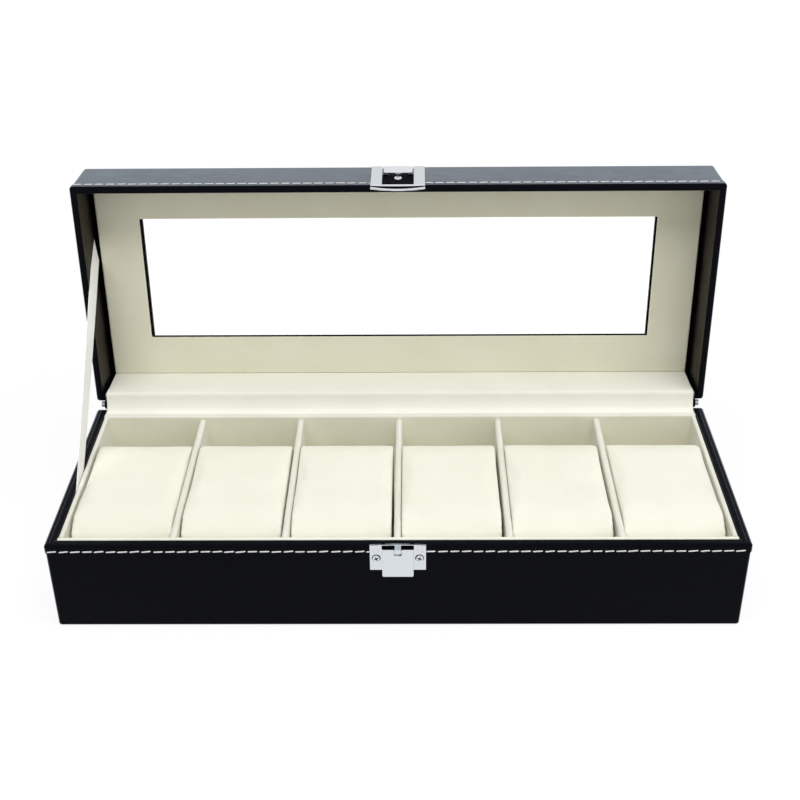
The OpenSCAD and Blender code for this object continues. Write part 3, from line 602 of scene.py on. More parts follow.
baseBand = {"half": 150.0, "halfDepth": 55.25, "low": 40.3, "top": 44.5, "innerHalf": 145.5,
            "innerFront": -50.75, "innerBack": 51.45, "turnIn": 36.5, "outerRound": 1.5,
            "rimRound": 1.4, "innerRound": 0.9, "hingeHalf": 145.3, "thick": 0.6}
lidBand = {"half": 150.0, "halfDepth": 55.25, "low": 49.7, "top": 45.1, "innerHalf": 146.7,
           "innerFront": -51.95, "innerBack": 52.65, "turnIn": 71.5, "outerRound": 1.5,
           "rimRound": 1.4, "innerRound": 0.6, "hingeHalf": 145.3, "thick": 0.4}


def makeRimBand(s, name, body, node, shut):
    # a skin over the rim; it stops on each side of the hinge
    bm = bmesh.new()
    low, top = s["low"], s["top"]
    inner = (-s["innerHalf"], s["innerFront"]), (s["innerHalf"], s["innerBack"])
    addSkin(bm, (-s["half"], -s["halfDepth"], min(low, top)), (s["half"], s["halfDepth"], max(low, top)),
            low, s["outerRound"], s["rimRound"])
    turnIn(bm, top, *inner, s["turnIn"], s["innerRound"])
    for side in (-1, 1):
        sliceAt(bm, 0, side * s["hingeHalf"])
    behind = facesWhere(bm, lambda c, n: abs(c.x) < s["hingeHalf"] and c.y > s["innerBack"] - 0.05)
    bmesh.ops.delete(bm, geom=behind, context="FACES")
    # the turned-in inner faces take the leatherette whose gloss is tinted warm: painted reflection
    finishPiece(bm, name, body, leatherette, (node,), shut=shut, wall=s["thick"],
                soften=0.1, other=(innerLeatheretteWithPaintedReflection, lambda c, n: within(c, *inner, slack=0.05)))


stitching = {"length": 4.3, "thick": 0.66, "pitch": 5.03, "tilt": 4.5, "sunk": 0.04, "shift": -0.85,
             "stretch": 1.6, "flat": 0.85, "margin": 3, "sideStart": 3.6, "stray": 0.12, "strayUp": 0.08,
             "baseDrop": 3.1, "lidDrop": 3.6, "plateHalf": 11.2, "loopHalf": 6.2}


def addStitch(bm, spot, along, outward, rng):
    # a short rounded length of thread, slightly tilted in its line
    s = stitching
    made = bmesh.ops.create_uvsphere(bm, u_segments=8, v_segments=5, radius=1)["verts"]
    for v in made:
        v.co.z += math.copysign(s["stretch"], v.co.z)
    half = s["length"] / 2 * rng.uniform(0.94, 1.04)
    r = s["thick"] / 2
    bmesh.ops.scale(bm, vec=(r, r * s["flat"], half / (1 + s["stretch"])), verts=made)
    along, outward = Vector(along), Vector(outward)
    lean = math.radians(s["tilt"] * rng.uniform(0.4, 1.5))
    run = along * math.cos(lean) + outward.cross(along) * math.sin(lean)
    turn = Matrix((outward.cross(run), outward, run)).transposed()
    bmesh.ops.rotate(bm, cent=(0, 0, 0), matrix=turn, verts=made)
    bmesh.ops.translate(bm, vec=Vector(spot) + outward * (r * 0.45 - s["sunk"]), verts=made)


def makeStitches(name, body, level, shut, gap):
    # a row along the front that leaves a gap for the clasp, and one along each side
    s = stitching
    rng = random.Random(7 if shut else 3)
    bm = bmesh.new()
    half, depth, pitch = baseBand["half"], baseBand["halfDepth"], s["pitch"]

    def stray():
        return level + rng.uniform(-s["strayUp"], s["strayUp"])
    count = int((2 * half - s["margin"]) / pitch)
    start = -(count - 1) * pitch / 2 + s["shift"]
    for i in range(count):
        x = start + i * pitch + rng.uniform(-s["stray"], s["stray"])
        if abs(x - claspX) > gap:
            addStitch(bm, (x, -depth, stray()), (1, 0, 0), (0, -1, 0), rng)
    count = int((2 * depth - s["margin"]) / pitch)
    for side in (-1, 1):
        for i in range(count):
            y = -depth + s["sideStart"] + i * pitch
            addStitch(bm, (side * half, y, stray()), (0, -side, 0), (side, 0, 0), rng)
    finishPiece(bm, name, body, thread, shut=shut, crisp=80)


rimFold = {"halfX": 147.5, "front": -53.0, "back": 53.6, "level": 44.42, "thick": 0.24}


def makeRimFold():
    # the fold of the wrap shows as a fine raised line along each side of the rim
    s = rimFold
    bm = bmesh.new()
    for side in (-1, 1):
        x = side * s["halfX"]
        addRod(bm, (x, s["front"], s["level"]), (x, s["back"], s["level"]), s["thick"], 8)
    finishPiece(bm, "baseRimFold", "base", foldedLeatherette, crisp=60)


makeBaseCover()
makeRimFold()
makeRimBand(baseBand, "baseRimBand", "base", "base_rim_band", False)
makeStitches("baseStitches", "base", baseBand["top"] - stitching["baseDrop"], False,
             stitching["plateHalf"])
print("base covered")


lidCover = {"half": 149.7, "front": -54.95, "back": 55.25, "low": 49.4, "backLow": 46.1, "top": 74.6,
            "windowLow": (-123.8, -31.55), "windowHigh": (123.8, 33.15), "reveal": 71.5,
            "hingeHalf": 145.3, "cornerRound": 1.5, "topRound": 1.6, "windowRound": 0.8, "thick": 0.6}


def makeLidCover():
    s = lidCover
    bm = bmesh.new()
    addSkin(bm, (-s["half"], s["front"], s["low"]), (s["half"], s["back"], s["top"]), s["low"],
            s["cornerRound"], s["topRound"])
    turnIn(bm, s["top"], s["windowLow"], s["windowHigh"], s["reveal"], s["windowRound"])
    raiseFlap(bm, s["hingeHalf"], s["back"], s["low"], s["backLow"])
    isReveal = lambda c, n: c.z < s["top"] - 0.3 and within(c, s["windowLow"], s["windowHigh"], slack=0.05)
    finishPiece(bm, "lidCover", "lid", leatherette, ("lid_wrap",), shut=True,
                wall=s["thick"], soften=0.12, other=(stainedEdgeAndPaintedShade, isReveal))


framePanel = {"low": (-144.9, -50.15, 67.5), "high": (144.9, 51.05, 69.4), "windowLow": (-123.8, -31.55),
              "windowHigh": (123.8, 30.15), "rebate": 70.9, "lip": (14.0, 9.8), "edgeRound": 0.8}


def makeFramePanel():
    # card wrapped in flock with a window, its cut edge stained, and a rim behind that holds the pane
    s = framePanel
    low, high, lip = s["low"], s["high"], s["lip"]
    bm = bmesh.new()
    addBlock(bm, low, high)
    cutWindow(bm, s["windowLow"], s["windowHigh"], 2)
    inWindow = lambda c, n: n.z > 0.5 or (abs(n.z) < 0.5
                                          and within(c, s["windowLow"], s["windowHigh"], slack=0.05))
    # the panel and the rim behind it take the darker, yellower copy of the flock: painted shade
    finishPiece(bm, "lidFramePanel", "lid", panelVelvetPaintedShade, ("lid_inner_frame",), shut=True,
                soften=s["edgeRound"], steps=3, other=(stainedEdgeAndPaintedShade, inWindow))
    bm = bmesh.new()
    addBlock(bm, (low[0], low[1], high[2]), (high[0], high[1], s["rebate"]))
    cutWindow(bm, (low[0] + lip[0], low[1] + lip[1]), (high[0] - lip[0], high[1] - lip[1]), 2)
    finishPiece(bm, "lidFrameBack", "lid", panelVelvetPaintedShade, ("lid_inner_frame",), shut=True,
                soften=0.2)


backLining = {"low": (-144.9, 51.1, 46.2), "high": (144.9, 52.65, 69.0), "round": 0.5}


def makeBackLining():
    s = backLining
    bm = bmesh.new()
    addBlock(bm, s["low"], s["high"])
    # the lining takes the paler copy of the flock: painted light
    finishPiece(bm, "lidBackLining", "lid", paleVelvetPaintedLight, ("lid_back_lining",), shut=True,
                soften=s["round"], steps=3)


makeLidCover()
makeRimBand(lidBand, "lidRimBand", "lid", "lid_rim_band", True)
makeStitches("lidStitches", "lid", lidBand["top"] + stitching["lidDrop"], True, stitching["loopHalf"])
makeFramePanel()
makeBackLining()
print("lid made")


tray = {"half": 145.1, "front": -50.35, "bayHalf": 143.0, "bayFront": -48.25, "bayBack": 47.95, "back": 51.45,
        "low": 3.8, "floor": 5.0, "top": 44.0, "edgeRound": 0.85, "backRound": 0.7,
        "dividerTop": 43.4, "divider": 3.0, "bays": 6, "tipRound": 2.2, "ridgeRound": 0.93}
bayWide = (2 * tray["bayHalf"] - (tray["bays"] - 1) * tray["divider"]) / tray["bays"]


def makeTray():
    s = tray
    walls = {
        # the front wall takes the cushions' darker cream: painted shade
        "front": (-s["half"], s["half"], s["front"], s["bayFront"], s["edgeRound"], cushionVelvetAndPaintedShade),
        "back": (-s["half"], s["half"], s["bayBack"], s["back"], s["backRound"], velvet),
        # the side walls take the darker copy of the flock: painted shade
        "left": (-s["half"], -s["bayHalf"], s["bayFront"], s["bayBack"], s["edgeRound"], edgeVelvetPaintedShade),
        "right": (s["bayHalf"], s["half"], s["bayFront"], s["bayBack"], s["edgeRound"], edgeVelvetPaintedShade),
    }
    for side, (left, right, front, back, radius, look) in walls.items():
        bm = bmesh.new()
        addBlock(bm, (left, front, s["low"]), (right, back, s["top"]))
        long = 0 if right - left > back - front else 1
        roundEdges(bm, [e for e in edgesWhere(bm, lambda p: p.z > s["top"] - touch) if span(e, long) > 10],
                   radius, 4)
        # the back wall's lit top takes the darker copy of the flock: painted shade
        paintedShadeTop = lambda c, n: n.z > 0.3 and side == "back"
        finishPiece(bm, f"tray{side.title()}Wall", "base", look, (f"tray_{side}_wall",),
                    crisp=50, other=(edgeVelvetPaintedShade, paintedShadeTop))


def makeDividers():
    s = tray
    half = s["divider"] / 2
    for i in range(1, s["bays"]):
        x = -s["bayHalf"] + i * (bayWide + s["divider"]) - half
        bm = bmesh.new()
        addBlock(bm, (x - half, s["bayFront"], s["floor"]), (x + half, s["bayBack"], s["dividerTop"]))
        tips = [e for e in edgesWhere(bm, lambda p: p.z > s["dividerTop"] - touch) if span(e, 0) > 1]
        roundEdges(bm, tips, s["tipRound"], 5)
        tipLow = s["dividerTop"] - s["tipRound"] - 0.1
        ridge = [e for e in bm.edges if len(e.link_faces) == 2 and min(v.co.z for v in e.verts) > tipLow
                 and span(e, 0) < touch and abs(abs(e.verts[0].co.x - x) - half) < touch]
        roundEdges(bm, ridge, half * s["ridgeRound"], 4)
        # the dividers take the darker copy of the flock: painted shade on their lit tops
        finishPiece(bm, f"divider{i}", "base", edgeVelvetPaintedShade, (f"divider_{i}",), crisp=50)


makeTray()
makeDividers()
print("tray made")


cushion = {"width": 43.37, "length": 78.0, "middleY": -7.25, "low": 5.3, "top": 45.5, "endRound": 15.0,
           "sideRound": 0.7, "shrink": 0.5, "press": 1.06, "voxel": 1.7, "pressure": 4.0, "frames": 20,
           "cap": 0.8, "roughness": 0.30, "lumps": 26, "lumpStep": 7.3, "room": (0.1, 0.8, 0.7),
           "aside": (0.5, 0.0, -0.35, -0.6, -0.6, -0.5)}


def stuffedBlock(width, length, height, endRound, sideRound):
    # a block with round ends and softer sides, centred
    bm = bmesh.new()
    addBlock(bm, (-width / 2, -length / 2, -height / 2), (width / 2, length / 2, height / 2))
    roundEdges(bm, [e for e in bm.edges if span(e, 0) > 1], endRound, 8)
    sides = [e for e in bm.edges if span(e, 0) < touch and any(abs(f.normal.x) > 0.9 for f in e.link_faces)]
    roundEdges(bm, sides, sideRound, 3)
    return bm


def settled(piece):
    # the mesh as the modifiers leave it, which are then taken off
    shown = piece.evaluated_get(bpy.context.evaluated_depsgraph_get())
    mesh = bpy.data.meshes.new_from_object(shown)
    piece.modifiers.clear()
    return mesh


def stuff(piece):
    # the cover is blown out by its stuffing, but no vertex goes further than the cap
    s = cushion
    rest = [v.co.copy() for v in piece.data.vertices]
    cloth = piece.modifiers.new("stuffing", "CLOTH")
    cloth.settings.use_pressure = True
    cloth.settings.uniform_pressure_force = s["pressure"]
    cloth.settings.effector_weights.gravity = 0
    cloth.settings.quality = 5
    for step in range(1, s["frames"] + 1):
        bpy.context.scene.frame_set(step)
    grown = settled(piece)
    bpy.context.scene.frame_set(1)
    for v, was in zip(grown.vertices, rest):
        move = v.co - was
        if move.length > s["cap"] * mm:
            v.co = was + move.normalized() * s["cap"] * mm
    piece.data = grown


def makeCushion(number):
    s = cushion
    height = s["top"] - s["low"]
    bm = stuffedBlock(s["width"] - s["shrink"] * 2, s["length"] - s["shrink"] * 2, height - s["shrink"] * 2,
                      s["endRound"], s["sideRound"])
    bmesh.ops.scale(bm, vec=(mm, mm, mm), verts=bm.verts)
    bmesh.ops.recalc_face_normals(bm, faces=bm.faces)
    mesh = bpy.data.meshes.new(f"cushion{number}")
    bm.to_mesh(mesh)
    bm.free()
    piece = bpy.data.objects.new(f"cushion{number}", mesh)
    bpy.context.collection.objects.link(piece)
    remesh = piece.modifiers.new("remesh", "REMESH")
    remesh.mode = "VOXEL"
    remesh.voxel_size = s["voxel"] * mm
    bpy.context.view_layer.update()
    piece.data = settled(piece)
    stuff(piece)
    # uneven stuffing, held inside its bay, where each lies a little to one side
    bayX = -tray["bayHalf"] + bayWide / 2 + (number - 1) * (bayWide + tray["divider"])
    centre = Vector((bayX + s["aside"][number - 1], s["middleY"], (s["low"] + s["top"]) / 2))
    halves = (Vector((s["width"], s["length"], height)) / 2 + Vector(s["room"])) * mm
    for v in piece.data.vertices:
        lump = noise.noise(v.co * s["lumps"] + Vector((number * s["lumpStep"], 0, 0)))
        v.co += v.co.normalized() * lump * s["roughness"] * mm
        v.co.x *= s["press"]
        for axis in range(3):
            v.co[axis] = max(-halves[axis], min(halves[axis], v.co[axis]))
        v.co.z = max(v.co.z, -(height / 2) * mm)
        v.co += centre * mm
    piece.data.shade_smooth()
    piece.data.materials.clear()
    piece.data.materials.append(cushionVelvetAndPaintedShade.material)
    smooth = piece.modifiers.new("smooth", "SUBSURF")
    smooth.levels = smooth.render_levels = 1
    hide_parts(f"cushion_{number}")
    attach(piece, f"cushion_{number}")


for number in range(1, tray["bays"] + 1):
    makeCushion(number)
print("cushions stuffed")


hingeStrip = {"half": 144.7, "thick": 0.35, "columns": 48,
              "path": ((50.4, 44.15), (52.4, 44.25), (53.6, 44.55), (54.3, 45.5), (55.0, 46.9), (55.7, 48.4),
                       (56.15, 49.9), (56.4, 51.1), (56.75, 51.95), (57.4, 52.4), (58.4, 52.42),
                       (60.0, 52.25), (61.6, 52.05))}


def makeHingeStrip():
    # the path is seen from the side, from the tray's back wall to the lid's lining
    s = hingeStrip
    bm = bmesh.new()
    line = [bm.verts.new((-s["half"], y, z)) for y, z in s["path"]]
    edges = [bm.edges.new(pair) for pair in zip(line, line[1:])]
    step = 2 * s["half"] / s["columns"]
    for _ in range(s["columns"]):
        fresh, edges = growEdges(bm, edges)
        bmesh.ops.translate(bm, vec=(step, 0, 0), verts=fresh)
    bmesh.ops.solidify(bm, geom=bm.faces[:], thickness=s["thick"])
    # the strip takes the paler copy of the flock: painted light
    strip = finishPiece(bm, "hingeStrip", None, paleVelvetPaintedLight, ("hinge_cover",), crisp=60, ride=False)
    strip.modifiers.clear()
    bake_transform(strip)


ribbon = {"width": 11.0, "thick": 0.25, "tail": 12.0, "sag": 0.8, "steps": 28, "across": 4,
          "foot": (-145.3, -4.0, 44.5), "head": (-146.35, 79.0, 116.8), "cutY": 82.3, "twist": (1.6, -5.0)}


def makeRibbon():
    # a strip of edges carried along its path, one step at a time
    s = ribbon
    foot, head = Vector(s["foot"]), Vector(s["head"])
    run = head - foot
    along = run.normalized()
    across = Vector((1, 0, 0)).cross(along).normalized()
    bm = bmesh.new()
    spots = [foot - along * s["tail"], foot - along * s["tail"] / 2]
    for i in range(s["steps"] + 1):
        t = i / s["steps"]
        spots.append(foot + run * t + across * (-s["sag"] * (1 - (2 * t - 1) ** 2)))

    def rowAt(index):
        t = max(0, index - 2) / s["steps"]
        turn = math.radians(s["twist"][0] * (1 - t) + s["twist"][1] * t)
        side = Matrix.Rotation(turn, 3, along) @ across
        row = [spots[index] + side * s["width"] * (k / s["across"] - 0.5)
               for k in range(s["across"] + 1)]
        if index < len(spots) - 1:
            return row
        # the last row is cut along the underside of the lid's top
        return [p + along * max(0.0, (s["cutY"] - p.y) / along.y) for p in row]
    row = [bm.verts.new(p) for p in rowAt(0)]
    edges = [bm.edges.new(pair) for pair in zip(row, row[1:])]
    weave = bm.loops.layers.uv.new("weave")
    for index in range(1, len(spots)):
        fresh, edges = growEdges(bm, edges)
        fresh.sort(key=lambda v: (v.co - spots[index - 1]).dot(across))
        for v, p in zip(fresh, rowAt(index)):
            v.co = p
    bm.faces.ensure_lookup_table()
    for face in bm.faces:
        for loop in face.loops:
            offset = loop.vert.co - foot
            loop[weave].uv = (offset.dot(across) * mm, offset.dot(along) * mm)
    bmesh.ops.solidify(bm, geom=bm.faces[:], thickness=s["thick"])
    piece = finishPiece(bm, "ribbonStay", None, satin, ("ribbon_stay",), crisp=60, ride=False)
    piece.modifiers.clear()
    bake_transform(piece)


makeHingeStrip()
makeRibbon()
print("cloth strips made")


def sweepAcross(bm, path, spots, shift):
    # a chain of edges carried from spot to spot along X; shift moves each vertex within its plane
    base = [bm.verts.new((spots[0],) + tuple(p)) for p in path]
    rows = [base]
    edges = [bm.edges.new(pair) for pair in zip(base, base[1:])]
    for x in spots[1:]:
        fresh, edges = growEdges(bm, edges)
        bmesh.ops.translate(bm, vec=(x - rows[-1][0].co.x, 0, 0), verts=fresh)
        fresh.sort(key=lambda v: min(range(len(path)), key=lambda i: (v.co.yz - Vector(path[i])).length))
        rows.append(fresh)
    for row in rows:
        for i, v in enumerate(row):
            v.co += Vector((0, *shift(v.co.x, i)))
    bm.normal_update()
    return rows


def addRing(bm, centre, radius, thick):
    # a low ring, spun from a small circle, that faces the front
    verts = bmesh.ops.create_circle(bm, cap_ends=False, segments=8, radius=thick)["verts"]
    bmesh.ops.rotate(bm, cent=(0, 0, 0), matrix=quarterTurn, verts=verts)
    bmesh.ops.translate(bm, vec=(radius, 0, 0), verts=verts)
    edges = list({e for v in verts for e in v.link_edges})
    before = set(bm.verts) - set(verts)
    bmesh.ops.spin(bm, geom=verts + edges, cent=(0, 0, 0), axis=(0, 0, 1), dvec=(0, 0, 0), angle=math.tau,
                   steps=24, use_merge=True, use_normal_flip=False, use_duplicate=False)
    ring = [v for v in bm.verts if v not in before]
    bmesh.ops.rotate(bm, cent=(0, 0, 0), matrix=quarterTurn, verts=ring)
    bmesh.ops.translate(bm, vec=centre, verts=ring)


plate = {"half": 11.9, "low": 32.2, "shoulder": 45.1, "rise": 0.5, "slotRise": 0.55, "slices": 6,
         "front": -56.15, "back": -55.25, "slotIn": 1.4, "slotOut": 6.8, "slotLow": 43.05, "slotHigh": 44.9,
         "pinY": -57.8, "pinZ": 43.0, "eye": 1.1, "sheet": 0.8,
         "dimpleX": 9.4, "dimpleZ": 42.5, "dimple": 1.15, "dimpleLine": 0.15}


def makePlate():
    s = plate
    bm = bmesh.new()
    addBlock(bm, (claspX - s["half"], s["front"], s["low"]), (claspX + s["half"], s["back"], s["shoulder"]))
    for side in (-1, 1):
        cutWindow(bm, (claspX + side * s["slotIn"], 0, s["slotLow"]),
                  (claspX + side * s["slotOut"], 0, s["slotHigh"]), 1)
    for i in range(1 - s["slices"], s["slices"]):
        sliceAt(bm, 0, claspX + i * s["half"] / s["slices"] + 0.001)
    # the top edge is bowed, and the slots follow it by half
    for v in bm.verts:
        if v.co.z > s["slotHigh"] - touch:
            bend = 1 - ((v.co.x - claspX) / s["half"]) ** 2
            v.co.z += s["rise"] * bend * (1 if v.co.z > s["shoulder"] - 0.05 else s["slotRise"])
    # the post between the slots carries the eye of the lever's pin
    left, right, eyeTop = claspX - s["slotIn"], claspX + s["slotIn"], s["pinZ"] + s["eye"]
    addRod(bm, (left, s["pinY"], s["pinZ"]), (right, s["pinY"], s["pinZ"]), s["eye"])
    addBlock(bm, (left, s["pinY"], eyeTop - s["sheet"]), (right, s["front"], eyeTop))
    for side in (-1, 1):
        addRing(bm, (claspX + side * s["dimpleX"], s["front"] + 0.06, s["dimpleZ"]), s["dimple"],
                s["dimpleLine"])
    finishPiece(bm, "claspPlate", "base", nickel, ("clasp_plate",), soften=0.14, steps=2)
    # dark blocks in the slots of the plate: painted shade
    bm = bmesh.new()
    for side in (-1, 1):
        addBlock(bm, (claspX + side * (s["slotIn"] - 0.2), s["back"] - 0.35, s["slotLow"] - 0.3),
                 (claspX + side * (s["slotOut"] + 0.2), s["back"] - 0.02, s["slotHigh"] + 0.6))
    finishPiece(bm, "claspSlotShade", "base", stainedEdgeAndPaintedShade)


def cutFaceLines(bm, height, lines):
    # scores the flat top of a screw along each line: (turn, offset)
    for turn, offset in lines:
        normal = Vector((math.cos(turn), math.sin(turn), 0))
        faces = facesWhere(bm, lambda c, n: n.z > 0.99 and c.z > height - touch)
        edges = {e for f in faces for e in f.edges}
        verts = {v for f in faces for v in f.verts}
        bmesh.ops.bisect_plane(bm, geom=faces + list(edges) + list(verts), dist=1e-6,
                               plane_co=normal * offset, plane_no=normal)


screwHead = {"sunk": 0.4, "slot": 0.5, "slotDeep": 0.45, "gap": 0.12, "gapShadeLine": 0.13}


def addScrew(bm, radius, height, turns, reach):
    # a head facing up with its recess pressed in
    addRod(bm, (0, 0, -screwHead["sunk"]), (0, 0, height), radius, 32)
    roundEdges(bm, [e for e in bm.edges if all(v.co.z > height - 0.001 for v in e.verts)], height * 0.6, 4)
    half = screwHead["slot"] / 2
    lines = [(turn, side * half) for turn in turns for side in (-1, 1)]
    lines += [(turn + math.pi / 2, side * reach) for turn in turns for side in (-1, 1)]
    cutFaceLines(bm, height, lines)

    def inSlot(c):
        return any(abs(c.x * math.cos(t) + c.y * math.sin(t)) < half
                   and abs(c.y * math.cos(t) - c.x * math.sin(t)) < reach for t in turns)
    pushFaces(bm, facesWhere(bm, lambda c, n: n.z > 0.99 and c.z > height - touch and inSlot(c)),
              (0, 0, -screwHead["slotDeep"]))


screws = {
    "plateScrewLeft": {"body": "base", "node": "clasp_plate_screws", "x": -9.15, "y": -56.15, "z": 38.5,
                       "turns": (25, 115), "reach": 1.0, "radius": 1.65, "height": 0.62},
    "plateScrewRight": {"body": "base", "node": "clasp_plate_screws", "x": 9.15, "y": -56.15, "z": 38.5,
                        "turns": (70, 160), "reach": 1.0, "radius": 1.65, "height": 0.62},
    "bracketScrew": {"body": "lid", "node": "bracket_screw", "x": 0, "y": -55.85, "z": 52.35,
                     "turns": (38, 128), "reach": 1.3, "radius": 1.85, "height": 1.15},
}


def makeScrews():
    for name, s in screws.items():
        bm = bmesh.new()
        addScrew(bm, s["radius"], s["height"], [math.radians(t) for t in s["turns"]], s["reach"])
        place = Vector((claspX + s["x"], s["y"], s["z"]))
        bmesh.ops.rotate(bm, cent=(0, 0, 0), matrix=quarterTurn, verts=bm.verts)
        bmesh.ops.translate(bm, vec=place, verts=bm.verts)
        # the faces deep in each screw's recess take the black finish: painted shade
        deep = s["y"] - (s["height"] - screwHead["slotDeep"])
        paintedRecessShade = lambda c, n: abs(c.y - deep) < 0.02 or (abs(n.y) < 0.3 and c.y < deep
                                                         and (c.xz - place.xz).length < s["radius"] * 0.75)
        finishPiece(bm, name, s["body"], nickel, (s["node"],), shut=s["body"] == "lid", crisp=40,
                    other=(stainedEdgeAndPaintedShade, paintedRecessShade))
    # a dark ring round each screw of the plate: painted shade in its countersink
    bm = bmesh.new()
    for name in ("plateScrewLeft", "plateScrewRight"):
        s = screws[name]
        addRing(bm, (claspX + s["x"], s["y"] - 0.02, s["z"]), s["radius"] + screwHead["gap"],
                screwHead["gapShadeLine"])
    finishPiece(bm, "plateScrewGapShade", "base", stainedEdgeAndPaintedShade)


lever = {"half": 6.65, "notch": 1.65, "front": -58.95, "sheet": 0.8, "low": 30.6, "pinZ": 43.0, "pinY": -57.8,
         "eye": 1.15, "cornerRound": 0.7, "shoulder": 0.45}


def makeLever():
    # a flat tongue rolled round its pin at each side of the post
    s = lever
    bm = bmesh.new()
    addBlock(bm, (claspX - s["half"], s["front"], s["low"]),
             (claspX + s["half"], s["front"] + s["sheet"], s["pinZ"]))
    for side in (-1, 1):
        sliceAt(bm, 0, claspX + side * s["notch"])
    notchLow = s["pinZ"] - s["eye"] - 0.2
    sliceAt(bm, 2, notchLow)
    gone = facesWhere(bm, lambda c, n: abs(c.x - claspX) < s["notch"] and c.z > notchLow + 0.02)
    bmesh.ops.delete(bm, geom=gone, context="FACES")
    bmesh.ops.holes_fill(bm, edges=[e for e in bm.edges if e.is_boundary], sides=8)
    corners = edgesWhere(bm, lambda p: p.z < s["low"] + touch and abs(abs(p.x - claspX) - s["half"]) < touch)
    roundEdges(bm, corners, s["cornerRound"], 4)
    for side in (-1, 1):
        made = addRod(bm, (claspX + side * s["notch"], s["pinY"], s["pinZ"]),
                      (claspX + side * s["half"], s["pinY"], s["pinZ"]), s["eye"])
        outer = [e for e in bm.edges if all(v in made and abs(v.co.x - claspX) > s["half"] - touch
                                            for v in e.verts)]
        roundEdges(bm, outer, s["shoulder"], 3)
    finishPiece(bm, "claspLever", "clasp_lever", nickel, ("clasp_lever",), soften=0.16, steps=3)


# the foot's profiles seen from the side: over the bend, then out again as a lip
# it is deepest in the middle
loop = {"half": 12.3, "hole": 7.25, "front": -57.9, "sheet": 0.6, "side": 0.7, "deep": 1.5, "holeLow": 38.7,
        "pinY": -56.75, "pinZ": 65.5, "eye": 1.15, "footSheet": 0.45, "steps": 14, "shaded": (2, 6),
        "mid": ((-57.9, 38.7), (-57.9, 36.9), (-57.85, 36.3), (-57.65, 35.85), (-57.35, 35.6), (-57.1, 35.45),
                (-57.0, 35.2), (-56.9, 34.8), (-56.75, 34.15)),
        "end": ((-57.9, 38.7), (-57.9, 37.5), (-57.88, 37.0), (-57.8, 36.8), (-57.7, 36.7), (-57.62, 36.65),
                (-57.55, 36.5), (-57.3, 36.0), (-56.9, 35.6))}


def makeLoop():
    # a frame with side flanges, a bent foot that ends in a bright lip, and two rolled eyes
    s = loop
    bm = bmesh.new()
    for side in (-1, 1):
        inner, flange, outer = (claspX + side * x for x in (s["hole"], s["half"] - s["side"], s["half"]))
        addBlock(bm, (inner, s["front"], s["holeLow"]), (outer, s["front"] + s["sheet"], s["pinZ"]))
        addBlock(bm, (flange, s["front"] + 0.1, s["holeLow"] - 1.6),
                 (outer, s["front"] + s["deep"], s["pinZ"] - 0.3))
        addRod(bm, (inner, s["pinY"], s["pinZ"]), (outer, s["pinY"], s["pinZ"]), s["eye"])
    finishPiece(bm, "claspLoop", "clasp_loop", loopNickel, ("clasp_loop",), shut=True,
                soften=0.16, steps=3)
    bm = bmesh.new()
    spots = [claspX + s["half"] * i / s["steps"] for i in range(-s["steps"], s["steps"] + 1)]

    def towardsEnd(x, index):
        share = abs((x - claspX) / s["half"]) ** 2
        return [share * (s["end"][index][k] - s["mid"][index][k]) for k in (0, 1)]
    rows = sweepAcross(bm, s["mid"], spots, towardsEnd)
    # the faces over the bend, between the shaded rows, take the black finish: painted shade
    first, last = s["shaded"]
    shaded = {v for row in rows for v in row[first:last + 1]}
    for face in bm.faces:
        face.material_index = int(all(v in shaded for v in face.verts))
    bmesh.ops.recalc_face_normals(bm, faces=bm.faces)
    if max(bm.faces, key=lambda f: middle(f).z).normal.y > 0:
        bmesh.ops.reverse_faces(bm, faces=bm.faces)
    bmesh.ops.solidify(bm, geom=bm.faces[:], thickness=s["footSheet"])
    finishPiece(bm, "claspLoopFoot", "clasp_loop", nickel, ("clasp_loop",), shut=True, crisp=50,
                other=(stainedEdgeAndPaintedShade, lambda c, n: False))


bracket = {"half": 6.75, "sheet": 0.6, "back": -55.25, "footSide": 0.3, "footLow": 46.35, "footTop": 59.5,
           "tongueLow": 56.35, "pinY": -56.75, "pinZ": 65.5, "eye": 1.15, "cornerRound": 1.6,
           "footRound": 0.8, "shelf": (2, 0.05, 0.6)}


def roundLow(bm, low, radius, steps):
    corners = [e for e in bm.edges if span(e, 1) > 0.1 and e.verts[0].co.z < low + touch]
    roundEdges(bm, corners, radius, steps)


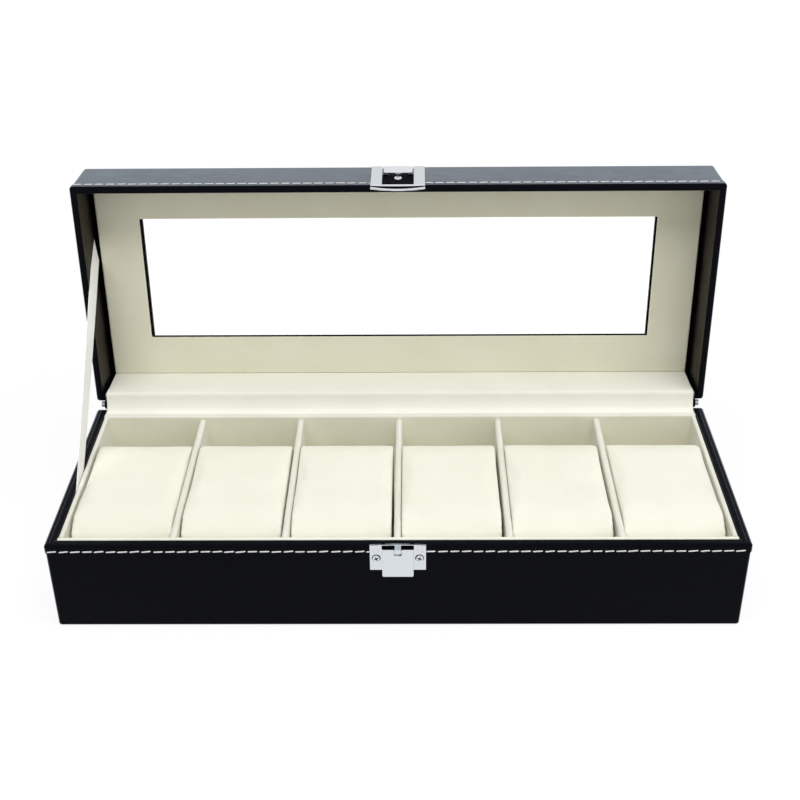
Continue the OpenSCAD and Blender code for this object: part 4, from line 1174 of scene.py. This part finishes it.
def makeBracket():
    # a dark foot under the screw, and a bright tongue above it, rolled round the loop's pin
    s = bracket
    left, right = claspX - s["half"], claspX + s["half"]
    bm = bmesh.new()
    addBlock(bm, (left - s["footSide"], s["back"] - s["sheet"], s["footLow"]),
             (right + s["footSide"], s["back"], s["footTop"]))
    roundLow(bm, s["footLow"], s["footRound"], 4)
    finishPiece(bm, "bracketFoot", "lid", stainedEdgeAndPaintedShade, ("loop_bracket",), shut=True, soften=0.1)
    bm = bmesh.new()
    front, low = s["pinY"] - s["eye"], s["tongueLow"]
    addBlock(bm, (left, front, low), (right, front + s["sheet"], s["pinZ"]))
    roundLow(bm, low, s["cornerRound"], 5)
    inset, under, over = s["shelf"]
    addBlock(bm, (left + inset, front + 0.1, low + under), (right - inset, s["back"] - 0.05, low + over))
    addRod(bm, (left, s["pinY"], s["pinZ"]), (right, s["pinY"], s["pinZ"]), s["eye"])
    finishPiece(bm, "bracketTongue", "lid", nickel, ("loop_bracket",), shut=True,
                soften=0.16, steps=3)


hingeEnd = {"from": 144.75, "collarTo": 146.0, "collar": 2.35, "to": 147.7, "outer": 1.45, "hole": 0.8,
            "deep": 1.5}


def makeHingeEnds():
    # the last knuckle of the hinge stands out past the strip at each side
    s = hingeEnd
    bm = bmesh.new()
    for side in (-1, 1):
        near, middleX, far = ((side * s[key], *hingePin.yz) for key in ("from", "collarTo", "to"))
        addRod(bm, near, middleX, s["collar"])
        addRod(bm, middleX, far, s["outer"])
        end = facesWhere(bm, lambda c, n: n.x * side > 0.9 and c.x * side > s["to"] - touch)
        bmesh.ops.inset_region(bm, faces=end, thickness=s["outer"] - s["hole"])
        pushFaces(bm, end, (-side * s["deep"], 0, 0))
    # the collar is black; the bore in each end is painted black: painted shade
    blackCollarAndPaintedHoleShade = lambda c, n: (abs(c.x) < s["collarTo"] + 0.05
                           or (c.yz - hingePin.yz).length < s["hole"] + touch)
    finishPiece(bm, "hingeEnds", "base", steel, (), crisp=40, other=(stainedEdgeAndPaintedShade, blackCollarAndPaintedHoleShade))


makeHingeEnds()
makePlate()
makeScrews()
makeLever()
makeLoop()
makeBracket()
print("clasp made")

bpy.context.scene.view_settings.view_transform = "Standard"
